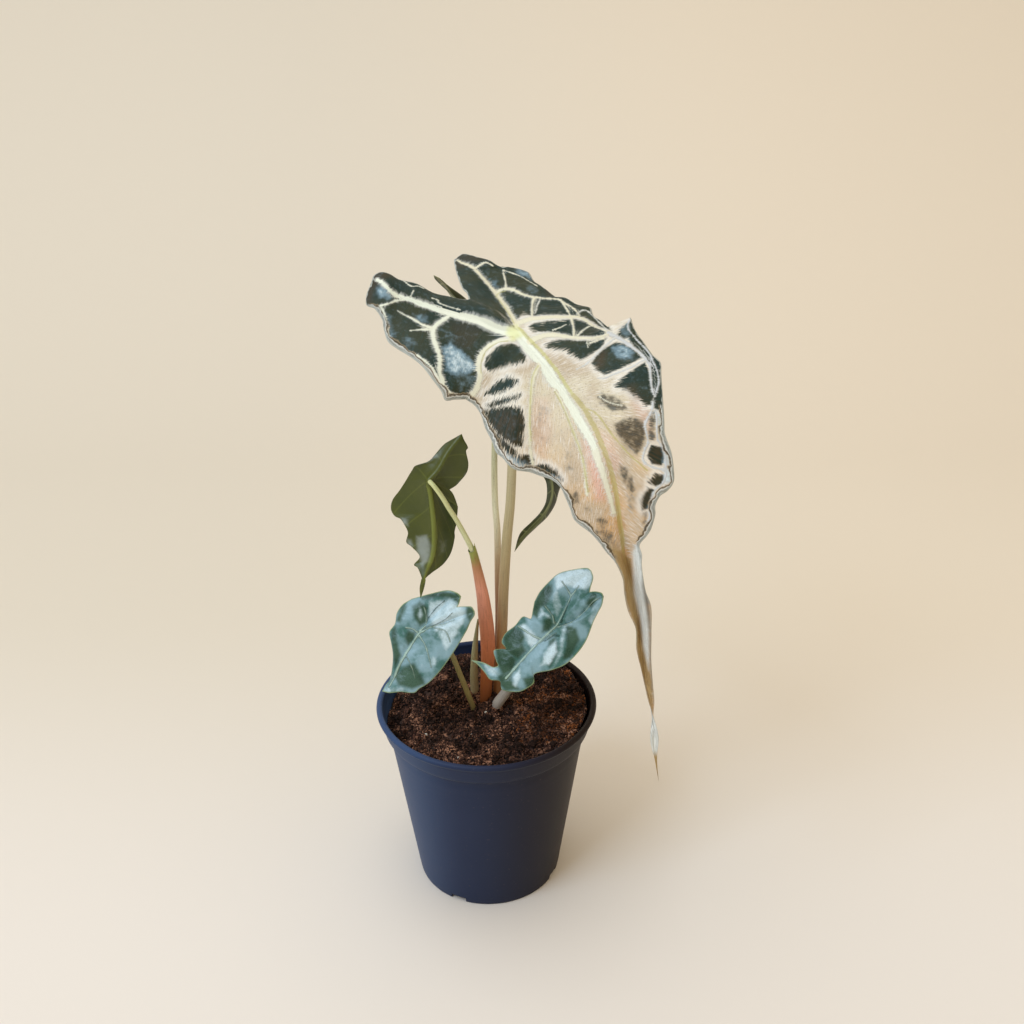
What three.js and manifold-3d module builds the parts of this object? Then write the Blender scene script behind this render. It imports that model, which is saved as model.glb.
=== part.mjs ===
// Potted venom alocasia: a plant with five arrow-shaped leaves in a round plastic nursery pot.
// Millimetres, +Z up. The origin is the centre of the pot's underside, +X is to the right of
// someone facing the plant and +Y is away from them.

import * as THREE from 'three';
import { mergeGeometries, mergeVertices } from 'three/addons/utils/BufferGeometryUtils.js';
import Module from 'manifold-3d';

const wasm = await Module();
wasm.setup();

// Driving dimensions
const lipRadius = 60;
const potHeight = 111;
const baseRadius = 40.2;
const bodyTopRadius = 53.9;
const collarFootHeight = 98;
const wall = 1.6;
const floorTop = 7;
const floorUnderside = 5;
const centrePadRadius = 9;
const gap = 0.3;
const bladeThickness = 0.9;
const ribDepth = 1.5;
const soilTop = 104;
const stalkFoot = 93;
const cormTop = 92.5;
const cormRadius = 12.5;
const potSides = 48;
const soilSides = 40;
const stalkSides = 8;

// Colours, as seen on the plant
const finish = (color, roughness) => new THREE.MeshStandardMaterial({ color, roughness, metalness: 0 });
const plasticFinish = finish(0x23263a, 0.45);
const soilFinish = finish(0x33231d, 1);
const rhizomeFinish = finish(0x8a6a48, 0.9);
const mainBladeFinish = finish(0xbdb79a, 0.4);
const darkBladeFinish = finish(0x3b4a24, 0.35);
const undersideFinish = finish(0x49560f, 0.35);
const silverBladeFinish = finish(0x7fa19c, 0.3);
const tanStalkFinish = finish(0x8d7d55, 0.5);
const paleStalkFinish = finish(0xc3c89a, 0.5);
const terracottaFinish = finish(0xa5663f, 0.6);
const oliveStalkFinish = finish(0x77693a, 0.5);
const greyStalkFinish = finish(0xb0a89c, 0.6);

// A geometry with its shared corners merged and its flat triangles dropped.
function joined(geometry) {
  const bare = geometry.clone();
  bare.deleteAttribute('normal');
  bare.deleteAttribute('uv');
  const merged = mergeVertices(bare, 1e-3);
  const corners = merged.index.array;
  const kept = [];
  for (let i = 0; i < corners.length; i += 3) {
    const [a, b, c] = corners.slice(i, i + 3);
    if (a !== b && b !== c && c !== a) {
      kept.push(a, b, c);
    }
  }
  merged.setIndex(kept);
  return merged;
}

// The same with its faces turned outwards.
function closedMesh(geometry) {
  const mesh = joined(geometry);
  if (volume(mesh) < 0) {
    turnOver(mesh);
  }
  return mesh;
}

function volume(geometry) {
  const at = geometry.attributes.position;
  const corners = geometry.index.array;
  const [a, b, c] = [new THREE.Vector3(), new THREE.Vector3(), new THREE.Vector3()];
  let sum = 0;
  for (let i = 0; i < corners.length; i += 3) {
    a.fromBufferAttribute(at, corners[i]);
    b.fromBufferAttribute(at, corners[i + 1]);
    c.fromBufferAttribute(at, corners[i + 2]);
    sum += a.dot(b.cross(c)) / 6;
  }
  return sum;
}

function turnOver(geometry) {
  const corners = geometry.index.array;
  for (let i = 0; i < corners.length; i += 3) {
    [corners[i], corners[i + 1]] = [corners[i + 1], corners[i]];
  }
}

// To the boolean library and back.
function toSolid(geometry) {
  const mesh = closedMesh(geometry);
  return new wasm.Manifold(new wasm.Mesh({
    numProp: 3,
    vertProperties: new Float32Array(mesh.attributes.position.array),
    triVerts: new Uint32Array(mesh.index.array),
  }));
}

function toGeometry(solid) {
  const mesh = solid.getMesh();
  const geometry = new THREE.BufferGeometry();
  geometry.setAttribute('position', new THREE.BufferAttribute(mesh.vertProperties, 3));
  geometry.setIndex(new THREE.BufferAttribute(mesh.triVerts, 1));
  geometry.computeVertexNormals();
  return geometry;
}

function largestPiece(solid) {
  const pieces = solid.decompose();
  return pieces.reduce((best, piece) => (piece.volume() > best.volume() ? piece : best));
}

// A smooth curve through stations [place, x, y, z], read at any place between the first and last.
function through(stations, place) {
  const last = stations.length - 1;
  let i = 0;
  while (i < last - 1 && stations[i + 1][0] < place) {
    i += 1;
  }
  const span = stations[i + 1][0] - stations[i][0];
  const f = (place - stations[i][0]) / span;
  const slope = (k, axis) => {
    const before = stations[Math.max(k - 1, 0)];
    const after = stations[Math.min(k + 1, last)];
    return (after[axis] - before[axis]) / (after[0] - before[0]);
  };
  const along = (axis) => {
    const [p, q] = [stations[i][axis], stations[i + 1][axis]];
    const [a, b] = [slope(i, axis) * span, slope(i + 1, axis) * span];
    return p + f * (a + f * (3 * (q - p) - 2 * a - b + f * (2 * (p - q) + a + b)));
  };
  return new THREE.Vector3(along(1), along(2), along(3));
}

// Leaf blades. A blade is spanned between three ribs, the midrib and one in each back lobe, and
// the margin on either side of each. Ribs are points from the stalk outwards. A margin station
// starts with its place along its rib, where 0 is the stalk and 1, 2, 3... are the rib's points.
const ribHalfWidth = 2;
const fullWidth = 10;
const columns = 4;

// Shares of the way from rib to margin: the rib, its edge, the middle of the rest and the margin.
function placesAcross(width) {
  const edge = Math.min(ribHalfWidth / width, 0.4);
  return [0, edge, (edge + 1) / 2, 1];
}

function placesAlong(steps) {
  const places = [0];
  steps.forEach((count, span) => {
    for (let k = 1; k <= count; k += 1) {
      places.push(span + k / count);
    }
  });
  return places;
}

// One side of a rib. A narrow tail is too slim for the bulge that rise gives the blade, and its
// thickness all points one way, square to the line from this margin to the opposite one.
function panel(rib, margin, opposite, steps, rise, facesUp) {
  const ribStations = rib.map((point, place) => [place, ...point]);
  const end = rib.length - 1;
  const places = placesAlong(steps);
  const geometry = new THREE.PlaneGeometry(1, 1, columns - 1, places.length - 1);
  geometry.deleteAttribute('normal');
  geometry.deleteAttribute('uv');
  const at = geometry.attributes.position;
  const keel = new Float32Array(at.count);
  const lean = new Float32Array(at.count * 3);
  places.forEach((place, row) => {
    const inner = through(ribStations, place);
    const outer = through(margin, place);
    const width = inner.distanceTo(outer);
    const left = 1 - place / end;
    const bulge = Math.sqrt(left) * Math.min(width / fullWidth, 1);
    const up = squareTo(ribStations, margin, opposite, Math.min(place, end - 0.1));
    up.multiplyScalar(facesUp ? 1 : -1);
    placesAcross(width).forEach((w, column) => {
      const i = row * columns + column;
      const point = inner.clone().lerp(outer, w);
      point.addScaledVector(rise, 4 * w * (1 - w) * bulge);
      point.toArray(at.array, i * 3);
      up.toArray(lean, i * 3);
      keel[i] = w === 0 ? left : 0;
    });
  });
  geometry.setAttribute('keel', new THREE.BufferAttribute(keel, 1));
  geometry.setAttribute('lean', new THREE.BufferAttribute(lean, 3));
  if (!facesUp) {
    turnOver(geometry);
  }
  return geometry;
}

// Square to the rib and to the line between its margins, fading to nothing where the line is long.
function squareTo(ribStations, margin, opposite, place) {
  const along = through(ribStations, place + 0.05).sub(through(ribStations, place));
  const across = through(margin, place).sub(through(opposite, place));
  const slimness = 1 - THREE.MathUtils.smoothstep(across.length(), fullWidth / 2, fullWidth);
  return along.cross(across).normalize().multiplyScalar(slimness);
}

// The two sides of a rib. The first margin is the one on the right, seen from above and from
// the stalk.
function aroundRib(rib, right, left, steps, rise) {
  return [panel(rib, right, left, steps, rise, true), panel(rib, left, right, steps, rise, false)];
}

function bladeSheet(leaf) {
  const rise = new THREE.Vector3(...leaf.rise);
  const sheets = [
    ...aroundRib(leaf.midrib, leaf.rightMargin, leaf.leftMargin, leaf.midribSteps, rise),
    ...aroundRib(
      leaf.rightLobe, leaf.rightLobeInside, leaf.rightLobeOutside, leaf.rightLobeSteps, rise,
    ),
    ...aroundRib(
      leaf.leftLobe, leaf.leftLobeOutside, leaf.leftLobeInside, leaf.leftLobeSteps, rise,
    ),
  ];
  const sheet = joined(mergeGeometries(sheets));
  sheet.computeVertexNormals();
  return sheet;
}

// The sheet given its thickness, with the ribs standing out below. spare thickens it all round.
function blade(leaf, spare = 0) {
  const sheet = bladeSheet(leaf);
  const at = sheet.attributes.position;
  const normal = sheet.attributes.normal;
  const { keel, lean } = sheet.attributes;
  const corners = sheet.index.array;
  const count = at.count;
  const half = bladeThickness / 2 + spare;
  const positions = new Float32Array(count * 6);
  const point = new THREE.Vector3();
  const up = new THREE.Vector3();
  const leaning = new THREE.Vector3();
  for (let i = 0; i < count; i += 1) {
    leaning.fromBufferAttribute(lean, i);
    up.fromBufferAttribute(normal, i).multiplyScalar(1 - leaning.length()).add(leaning).normalize();
    point.fromBufferAttribute(at, i).addScaledVector(up, half);
    point.toArray(positions, i * 3);
    point.fromBufferAttribute(at, i).addScaledVector(up, -half - ribDepth * keel.getX(i));
    point.toArray(positions, (count + i) * 3);
  }
  const faces = [];
  const edges = new Map();
  for (let i = 0; i < corners.length; i += 3) {
    const [a, b, c] = corners.slice(i, i + 3);
    faces.push(a, b, c, count + a, count + c, count + b);
    [[a, b], [b, c], [c, a]].forEach(([from, to]) => edges.set(`${from} ${to}`, [from, to]));
  }
  edges.forEach(([from, to]) => {
    if (!edges.has(`${to} ${from}`)) {
      faces.push(to, from, count + from, to, count + from, count + to);
    }
  });
  const geometry = new THREE.BufferGeometry();
  geometry.setAttribute('position', new THREE.BufferAttribute(positions, 3));
  geometry.setIndex(faces);
  geometry.computeVertexNormals();
  return geometry;
}

// Stalks. A stalk is a turned rod or sleeve bent along a smooth curve. radii are spread evenly
// over the stretch from start to end, which are shares of the curve's length.
function bent(curve, start, end, rows, profile, sides) {
  const geometry = new THREE.LatheGeometry(profile, sides);
  const frameCount = 400;
  const frames = curve.computeFrenetFrames(frameCount, false);
  const at = geometry.attributes.position;
  for (let i = 0; i < at.count; i += 1) {
    const share = start + (end - start) * (at.getY(i) / rows);
    const frame = Math.round(share * frameCount);
    const point = curve.getPointAt(share);
    point.addScaledVector(frames.normals[frame], at.getX(i));
    point.addScaledVector(frames.binormals[frame], at.getZ(i));
    at.setXYZ(i, point.x, point.y, point.z);
  }
  return geometry;
}

function radiusAt(radii, share) {
  const place = share * (radii.length - 1);
  const i = Math.min(Math.floor(place), radii.length - 2);
  return THREE.MathUtils.lerp(radii[i], radii[i + 1], place - i);
}

function stalk(stem, spare = 0) {
  const profile = [new THREE.Vector2(0, 0)];
  for (let row = 0; row <= stem.rows; row += 1) {
    profile.push(new THREE.Vector2(radiusAt(stem.radii, row / stem.rows) + spare, row));
  }
  profile.push(new THREE.Vector2(0, stem.rows));
  return bent(curveOf(stem), 0, 1, stem.rows, profile, stem.sides ?? stalkSides);
}

function curveOf(stem) {
  return new THREE.CatmullRomCurve3(stem.path.map((point) => new THREE.Vector3(...point)));
}

const mainStem = {
  path: [
    [4.5, 11.5, stalkFoot], [6, 13, 101], [7, 14, 117], [8, 14, 133], [9, 14, 149], [10, 13, 172],
    [12, 11, 203], [14, 10, 224], [15, 8, 244], [16, 5, 273], [17, 2, 300], [18, 0, 319],
  ],
  radii: [2.7, 2.7, 2.5, 2.5, 2.4, 2.2],
  rows: 16,
};

const rearStem = {
  path: [
    [4, 18, stalkFoot], [5, 20, 101], [6, 21, 122], [7, 22, 148], [7, 23, 172], [7, 25, 200],
    [6, 27, 218], [6, 31, 242], [7, 38, 265], [8, 48, 282],
  ],
  radii: [1.9, 1.9, 1.8, 1.6, 1.5],
  rows: 14,
};

const leftStem = {
  path: [
    [-1.5, 8, stalkFoot], [-1, 9, 102], [0, 9, 117], [1, 9, 133], [1, 9, 146], [0, 9, 159],
    [-1, 8, 171], [-3, 8, 184], [-5, 7, 196], [-7, 6, 203], [-13, 5, 217], [-17, 4, 225],
    [-20, 4, 231], [-24, 5, 237], [-27, 8, 239],
  ],
  radii: [1.5, 1.5, 1.5, 1.5, 1.5, 1.3, 1.2],
  rows: 20,
};

const lowLeftStem = {
  path: [
    [-5.5, 2, stalkFoot], [-7, 1, 103], [-10, 0, 114], [-14, 0, 127], [-18, -1, 140],
    [-23, -3, 149], [-29, -5, 155], [-34, -8, 160],
  ],
  radii: [1.5, 1.5, 1.4, 1.2],
  rows: 10,
};

const rightStem = {
  path: [
    [4, 4, stalkFoot], [5, 2, 104], [10, 0, 114], [15, -4, 125], [21, -8, 137], [29, -13, 152],
    [34, -17, 163], [37, -20, 169],
  ],
  radii: [2.6, 3, 2.4, 1.8, 1.5, 1.3],
  rows: 12,
};

const shootStem = {
  path: [[-6, 15, stalkFoot], [-7, 16, 107], [-7, 16, 119], [-6, 16, 135], [-4, 16, 152]],
  radii: [2.4, 2.3, 2.1, 1.5, 0.5],
  rows: 8,
};

// The sheath is a sleeve round the lower part of the left stalk. Its rim rises to a point on
// the left and on the right. It starts and ends at rows of the stalk, so the two bend alike.
const sheath = {
  start: 1 / leftStem.rows,
  end: 14 / leftStem.rows,
  rows: 13,
  radii: [3, 3.3, 3.7, 4, 3.9, 3.3, 2.6, 2.4],
  flapHeight: 5,
};

function sheathProfile(sleeve, spare = 0) {
  const outer = [];
  for (let row = 0; row <= sleeve.rows; row += 1) {
    outer.push(new THREE.Vector2(radiusAt(sleeve.radii, row / sleeve.rows) + spare, row));
  }
  return outer;
}

// The space that the sheath fills, with its bore closed.
function sheathRod(stem, sleeve, spare) {
  const outer = sheathProfile(sleeve, spare);
  const profile = [new THREE.Vector2(0, 0), ...outer, new THREE.Vector2(0, sleeve.rows)];
  return bent(curveOf(stem), sleeve.start, sleeve.end, sleeve.rows, profile, stalkSides);
}

function sheathSleeve(stem, sleeve) {
  const bore = Math.max(...stem.radii) + gap;
  const outer = sheathProfile(sleeve);
  const inner = outer.map(({ y }) => new THREE.Vector2(bore, y)).reverse();
  const curve = curveOf(stem);
  const profile = [...outer, ...inner, outer[0].clone()];
  const geometry = bent(curve, sleeve.start, sleeve.end, sleeve.rows, profile, stalkSides);
  const at = geometry.attributes.position;
  const rim = curve.getPointAt(sleeve.end);
  const up = curve.getTangentAt(sleeve.end);
  const point = new THREE.Vector3();
  for (let i = 0; i < at.count; i += 1) {
    const out = point.fromBufferAttribute(at, i).clone().sub(rim);
    if (Math.abs(out.dot(up)) < gap) {
      point.addScaledVector(up, sleeve.flapHeight * (out.x / out.length()) ** 2);
      at.setXYZ(i, point.x, point.y, point.z);
    }
  }
  return geometry;
}

// Leaves. Rises lift the blade between rib and margin, and point out of the upper face.
const mainLeaf = {
  rise: [-0.7, -2.2, 1.7],
  midrib: [
    [18, 0, 319], [29, -12, 309], [38, -21, 300], [46, -31, 291], [53, -40, 284], [57, -47, 276],
    [61, -52, 265], [63, -56, 255], [65, -59, 243], [68, -61, 228], [72, -62, 210], [75, -61, 187],
    [79, -59, 163], [83, -56, 142], [86, -54, 120], [89, -52, 95],
  ],
  midribSteps: [8, 6, 5, 5, 3, 2, 2, 2, 2, 2, 2, 2, 4, 3, 2],
  leftMargin: [
    [0, -6, -24, 295], [0.1, -2, -24, 292], [0.2, 1, -26, 288], [0.32, 3, -32, 284],
    [0.45, 6, -38, 280], [0.55, 8, -42, 276], [0.63, 11, -44, 274], [0.72, 14, -46, 271],
    [0.82, 17, -46, 269], [1.02, 23, -44, 267], [1.3, 28, -44, 265], [1.7, 33, -46, 264],
    [2.15, 37, -50, 262], [2.6, 39, -54, 259], [3.1, 41, -57, 255], [3.7, 43, -59, 250],
    [4.9, 50, -62, 245], [6.1, 54, -64, 241], [6.8, 57, -65, 237], [7.6, 59, -66, 235],
    [8.5, 62, -67, 231], [9.1, 65, -68, 224], [9.6, 66, -68, 216], [10.1, 68, -68, 207],
    [10.5, 72, -67, 197], [11.1, 73, -65, 184], [11.7, 76, -63, 171], [12.2, 78.6, -59.7, 159],
    [12.6, 80.4, -58.8, 151], [13, 82.8, -58.2, 143], [13.8, 87, -56, 127], [14.4, 88.4, -54.2, 111],
    [15, 89, -52, 95],
  ],
  rightMargin: [
    [0, 63, 8, 317], [0.5, 67, 6, 318], [0.9, 70, 8, 321], [1.15, 72, 8, 323], [1.3, 73, 4, 320],
    [1.45, 75, 0, 317], [1.6, 77, -3, 315], [1.75, 79, -8, 313], [1.9, 81, -12, 311],
    [2.1, 84, -16, 309], [2.35, 84, -21, 305], [2.6, 84, -27, 300], [2.75, 84, -33, 295],
    [2.85, 84, -37, 292], [2.95, 84, -40, 288], [3.05, 84, -43, 285], [3.25, 87, -46, 277],
    [3.4, 88, -48, 271], [3.6, 88, -52, 266], [4, 85, -56, 263], [4.5, 81, -60, 262],
    [5, 79, -61, 258], [5.7, 79, -62, 254], [6.8, 77, -65, 248], [7.4, 75, -66, 245],
    [8.1, 72, -67, 241], [8.6, 73, -69, 237], [9, 73, -70, 232], [9.6, 75, -71, 220],
    [10.1, 78, -71, 211], [10.8, 79, -69, 196], [11.4, 80, -66, 179], [12.1, 82, -62, 162],
    [12.6, 83.5, -58.5, 151], [13, 84, -54.2, 141], [13.8, 83, -56, 125], [14.4, 85.8, -53.6, 110],
    [15, 89, -52, 95],
  ],
  leftLobe: [
    [18, 0, 319], [10, 3, 319], [1, 7, 322], [-9, 10, 324], [-18, 12, 326], [-28, 13, 329],
    [-37, 14, 332], [-43, 15, 337], [-51, 17, 338],
  ],
  leftLobeSteps: [1, 1, 2, 3, 3, 3, 3, 4],
  leftLobeOutside: [
    [0, -6, -24, 295], [1, -11, -27, 296], [2, -15, -30, 297], [2.8, -17, -28, 301],
    [3.4, -21, -26, 306], [4, -25, -22, 310], [4.6, -30, -18, 313], [5.3, -38, -12, 316],
    [5.9, -42, -8, 318], [6.4, -44, -3, 322], [6.9, -45, 2, 325], [7.4, -49, 7, 329],
    [7.75, -53, 10, 330], [7.9, -53, 14, 334], [8, -51, 17, 338],
  ],
  leftLobeInside: [
    [0, -5, 21, 329], [1, -6, 20, 329], [2, -9, 21, 329], [3, -14, 22, 330], [4, -22, 22, 332],
    [5, -30, 24, 336], [6, -38, 24, 338], [7, -43, 24, 341], [7.6, -47, 23, 342],
    [7.85, -50, 20, 341], [8, -51, 17, 338],
  ],
  rightLobe: [
    [18, 0, 319], [16, 12, 322], [13, 22, 324], [7, 36, 329], [-1, 48, 335], [-8, 54, 337],
    [-12, 58, 339],
  ],
  rightLobeSteps: [4, 4, 5, 5, 4, 2],
  rightLobeOutside: [
    [0, 63, 8, 317], [0.5, 61, 11, 318], [0.9, 58, 14, 320], [1.25, 55, 18, 321],
    [1.5, 54, 24, 323], [1.75, 51, 27, 323], [2.05, 47, 28, 324], [2.35, 42, 32, 326],
    [2.6, 38, 32, 326], [2.85, 34, 36, 328], [3.05, 30, 40, 330], [3.25, 27, 44, 331],
    [3.5, 24, 50, 334], [3.9, 15, 52, 336], [4.15, 10, 50, 337], [4.4, 5, 54, 339],
    [4.8, 0, 56, 340], [5.4, -8, 60, 341], [5.8, -11, 59, 340], [6, -12, 58, 339],
  ],
  rightLobeInside: [
    [0, -5, 21, 329], [1, -6, 27, 330], [2, -8, 31, 331], [3, -10, 38, 333], [4, -12, 47, 336],
    [5, -13, 54, 338], [5.6, -13, 57, 339], [6, -12, 58, 339],
  ],
};

const rearLeaf = {
  rise: [-0.6, -1.4, 1],
  midrib: [
    [8, 48, 282], [15, 43, 273], [23, 36, 261], [30, 31, 246], [36, 28, 228], [36, 28, 218],
    [32, 29, 208], [27, 31, 200], [21, 33, 193], [16, 35, 183],
  ],
  midribSteps: [4, 3, 3, 2, 2, 2, 2, 2, 2],
  leftMargin: [
    [0, -3, 32, 297], [0.6, 3, 30, 276], [1.5, 12, 26, 258], [2.6, 22, 25, 242],
    [3.4, 30, 26, 234], [4, 33, 27, 228], [5, 33, 27, 218], [6, 30, 29, 210], [7, 25, 31, 203],
    [8, 19, 33, 195], [9, 16, 35, 183],
  ],
  rightMargin: [
    [0, 58, 62, 297], [0.6, 64, 56, 283], [1.3, 65, 48, 266], [2, 60, 40, 250],
    [2.8, 52, 34, 237], [3.5, 43, 31, 229], [4.2, 40, 31, 222], [5, 38, 31, 214],
    [6, 34, 32, 206], [7, 28, 33, 199], [8, 22, 34, 192], [9, 16, 35, 183],
  ],
  leftLobe: [
    [8, 48, 282], [1, 46, 295], [-6, 45, 310], [-14, 45, 323], [-19, 46, 330], [-23, 46, 334],
  ],
  leftLobeSteps: [2, 2, 2, 2, 2],
  leftLobeOutside: [
    [0, -3, 32, 297], [1.4, -8, 30, 316], [3, -11, 30, 326], [4, -16, 36, 329],
    [4.7, -22, 42, 333], [5, -23, 46, 334],
  ],
  leftLobeInside: [
    [0, 10, 58, 301], [1.2, 0, 54, 312], [3, -9, 50, 322], [4, -16, 48, 328], [4.7, -20, 47, 332],
    [5, -23, 46, 334],
  ],
  rightLobe: [[8, 48, 282], [17, 54, 289], [28, 60, 298], [38, 66, 304], [47, 70, 309]],
  rightLobeSteps: [2, 2, 2, 2],
  rightLobeOutside: [
    [0, 58, 62, 297], [2, 55, 64, 302], [3.3, 51, 67, 307], [4, 47, 70, 309],
  ],
  rightLobeInside: [
    [0, 10, 58, 301], [1.2, 20, 64, 305], [2.6, 33, 70, 309], [3.5, 42, 73, 312], [4, 47, 70, 309],
  ],
};

// This leaf has turned over, so its right margin is on the viewer's left.
const leftLeaf = {
  rise: [0, 1.5, 0.6],
  midrib: [
    [-27, 8, 239], [-26, 7, 230], [-25, 5, 220], [-25, 3, 209], [-26, 1, 199], [-29, -1, 193],
    [-31, -3, 188], [-32, -4, 183], [-33, -4, 177],
  ],
  midribSteps: [4, 4, 4, 4, 3, 2, 2, 2],
  rightMargin: [
    [0, -40, 17, 234], [0.4, -43, 18, 229], [0.9, -47, 19, 223], [1.4, -48, 18, 218],
    [1.8, -46, 16, 215], [2.1, -43, 13, 215], [2.4, -41, 11, 213], [2.8, -39, 9, 209],
    [3.2, -40, 8, 204], [3.6, -37, 6, 202], [4.1, -33, 3, 198], [4.5, -36, 2, 194],
    [5, -34, 0, 193], [5.6, -32, -3, 189], [6, -32.2, -3.3, 188], [7, -33.2, -4.3, 183],
    [8, -33, -4, 177],
  ],
  leftMargin: [
    [0, -14, 12, 212], [0.8, -15, 11, 208], [1.6, -15, 10, 205], [2.6, -17, 7, 198],
    [3.6, -21, 4, 193], [4.7, -27, 0, 190], [5.6, -30, -3, 188.5], [6, -30, -3, 187.5],
    [7, -31, -4, 183], [8, -33, -4, 177],
  ],
  rightLobe: [[-27, 8, 239], [-22, 10, 244], [-17, 13, 252], [-10, 16, 261]],
  rightLobeSteps: [3, 4, 4],
  rightLobeOutside: [
    [0, -40, 17, 234], [0.5, -36, 16, 241], [0.9, -34, 15, 244], [1.3, -29, 14, 246],
    [1.6, -26, 14, 248], [2, -22, 16, 252], [2.4, -19, 17, 255], [2.7, -16, 17, 257], [3, -10, 16, 261],
  ],
  rightLobeInside: [
    [0, -17, 14, 231], [0.6, -14, 14, 233], [1, -12, 14, 235], [1.6, -8, 15, 240],
    [2, -7, 15, 245], [2.4, -8, 15, 252], [2.6, -7, 15, 254], [2.85, -9, 16, 258], [3, -10, 16, 261],
  ],
  leftLobe: [[-27, 8, 239], [-23, 10, 233], [-18, 12, 226], [-13, 14, 221]],
  leftLobeSteps: [2, 2, 2],
  leftLobeOutside: [[0, -14, 12, 212], [1.5, -13.5, 13, 216], [3, -13, 14, 221]],
  leftLobeInside: [[0, -17, 14, 231], [1, -15.5, 14, 229], [2, -14.3, 14, 226], [3, -13, 14, 221]],
};

const lowLeftLeaf = {
  rise: [-0.3, -1.6, 1],
  midrib: [
    [-34, -8, 160], [-38, -10, 154], [-42, -13, 148], [-45, -16, 142], [-49, -20, 135],
    [-54, -21, 131],
  ],
  midribSteps: [4, 4, 3, 3, 3],
  leftMargin: [
    [0, -38, 1, 174], [0.5, -43, 0, 171], [1, -46, -2, 167], [1.5, -47, -4, 162],
    [2, -50, -6, 158], [2.5, -49, -9, 154], [3.2, -48, -12.5, 147],
    [3.8, -49.7, -15.2, 136], [4.5, -52.1, -18.5, 133.3], [5, -54, -21, 131],
  ],
  rightMargin: [
    [0, -9, -11, 162], [0.5, -13, -14, 156], [1, -18, -17, 149], [1.6, -23, -20, 143],
    [2.2, -29, -22, 137], [2.8, -34, -23, 134], [3.3, -37, -24, 132], [4, -44, -23, 132],
    [4.6, -50, -22.5, 131], [5, -54, -21, 131],
  ],
  leftLobe: [[-34, -8, 160], [-25, -4, 168], [-18, -1, 174], [-12, -2, 177]],
  leftLobeSteps: [3, 3, 3],
  leftLobeOutside: [
    [0, -38, 1, 174], [1, -28, 1, 177], [2, -19, 1, 179], [2.6, -14, -1, 178.5], [3, -12, -2, 177],
  ],
  leftLobeInside: [[0, -14, -5, 172.5], [1.5, -13, -4, 174], [3, -12, -2, 177]],
  rightLobe: [[-34, -8, 160], [-25, -8, 163], [-17, -7, 166], [-5, -7, 171]],
  rightLobeSteps: [3, 3, 3],
  rightLobeOutside: [[0, -9, -11, 162], [1.5, -7, -9, 166], [2.4, -5, -8, 169], [3, -5, -7, 171]],
  rightLobeInside: [[0, -14, -5, 172.5], [1.5, -9.5, -5.5, 173], [2.4, -6.5, -6, 173], [3, -5, -7, 171]],
};

const rightLeaf = {
  rise: [-0.5, -1.6, 1.1],
  midrib: [
    [37, -20, 169], [31, -21, 164], [26, -23, 160], [20, -25, 154], [14, -27, 148], [9, -28, 145],
    [3, -25, 146], [-2, -22, 148], [-7, -21, 150],
  ],
  midribSteps: [6, 4, 4, 4, 3, 3, 2, 2],
  leftMargin: [
    [0, 26, -10, 178], [0.2, 25, -13, 174], [0.4, 24, -15, 171], [0.7, 20, -13, 171],
    [1, 16, -15, 167], [1.4, 11, -16, 163], [1.8, 9, -18, 159], [2.4, 11, -21, 156.5],
    [2.8, 5, -19.5, 155], [3.2, 6, -23, 151], [3.6, 7, -25, 149.5], [4.3, 6, -25, 148.5],
    [5.2, 4, -24.3, 148], [6.2, 1, -23, 149], [7, -2.5, -21.5, 149.5], [8, -7, -21, 150],
  ],
  rightMargin: [
    [0, 56, -22, 174], [0.6, 51, -28, 164], [1.2, 43, -31, 155], [1.8, 35, -32, 151],
    [2.2, 26, -31, 148], [2.9, 25, -34, 144], [3.3, 20, -34, 140], [3.8, 16, -34, 139],
    [4.4, 9, -32, 139], [4.8, 8, -29, 142], [5.6, 3, -28, 142.5], [6.4, 0, -25, 145],
    [7.2, -3.5, -22.5, 148], [8, -7, -21, 150],
  ],
  leftLobe: [[37, -20, 169], [42, -15, 178], [46, -11, 187], [55, -8, 195]],
  leftLobeSteps: [4, 4, 4],
  leftLobeOutside: [
    [0, 26, -10, 178], [0.6, 29, -8, 183], [1.2, 34, -6, 188], [1.8, 39, -5, 192],
    [2.5, 48, -6, 195], [2.8, 53, -7, 196], [3, 55, -8, 195],
  ],
  leftLobeInside: [[0, 54, -14, 186], [1.5, 54.5, -13, 188], [2.5, 56, -9.5, 192], [3, 55, -8, 195]],
  rightLobe: [[37, -20, 169], [46, -20, 173], [52, -18, 178], [61, -17, 185]],
  rightLobeSteps: [4, 3, 3],
  rightLobeOutside: [[0, 56, -22, 174], [1, 58, -21, 178], [2, 60, -19, 181], [3, 61, -17, 185]],
  rightLobeInside: [[0, 54, -14, 186], [1.5, 57, -14.5, 186.5], [2.5, 60, -16, 186.5], [3, 61, -17, 185]],
};

// Pot: one thin-walled moulding with a wide collar, a rounded lip and a foot ring.
const collarFootRadius = bodyTopRadius + 2.6;
const stepFoot = collarFootHeight - 3;
const stepHead = collarFootHeight + 1.2;

function outside(z) {
  return baseRadius + ((bodyTopRadius - baseRadius) / collarFootHeight) * z;
}

function inside(z) {
  const step = THREE.MathUtils.clamp((z - stepFoot) / (stepHead - stepFoot), 0, 1);
  return THREE.MathUtils.lerp(outside(Math.min(z, stepFoot)), collarFootRadius, step) - wall;
}

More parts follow.
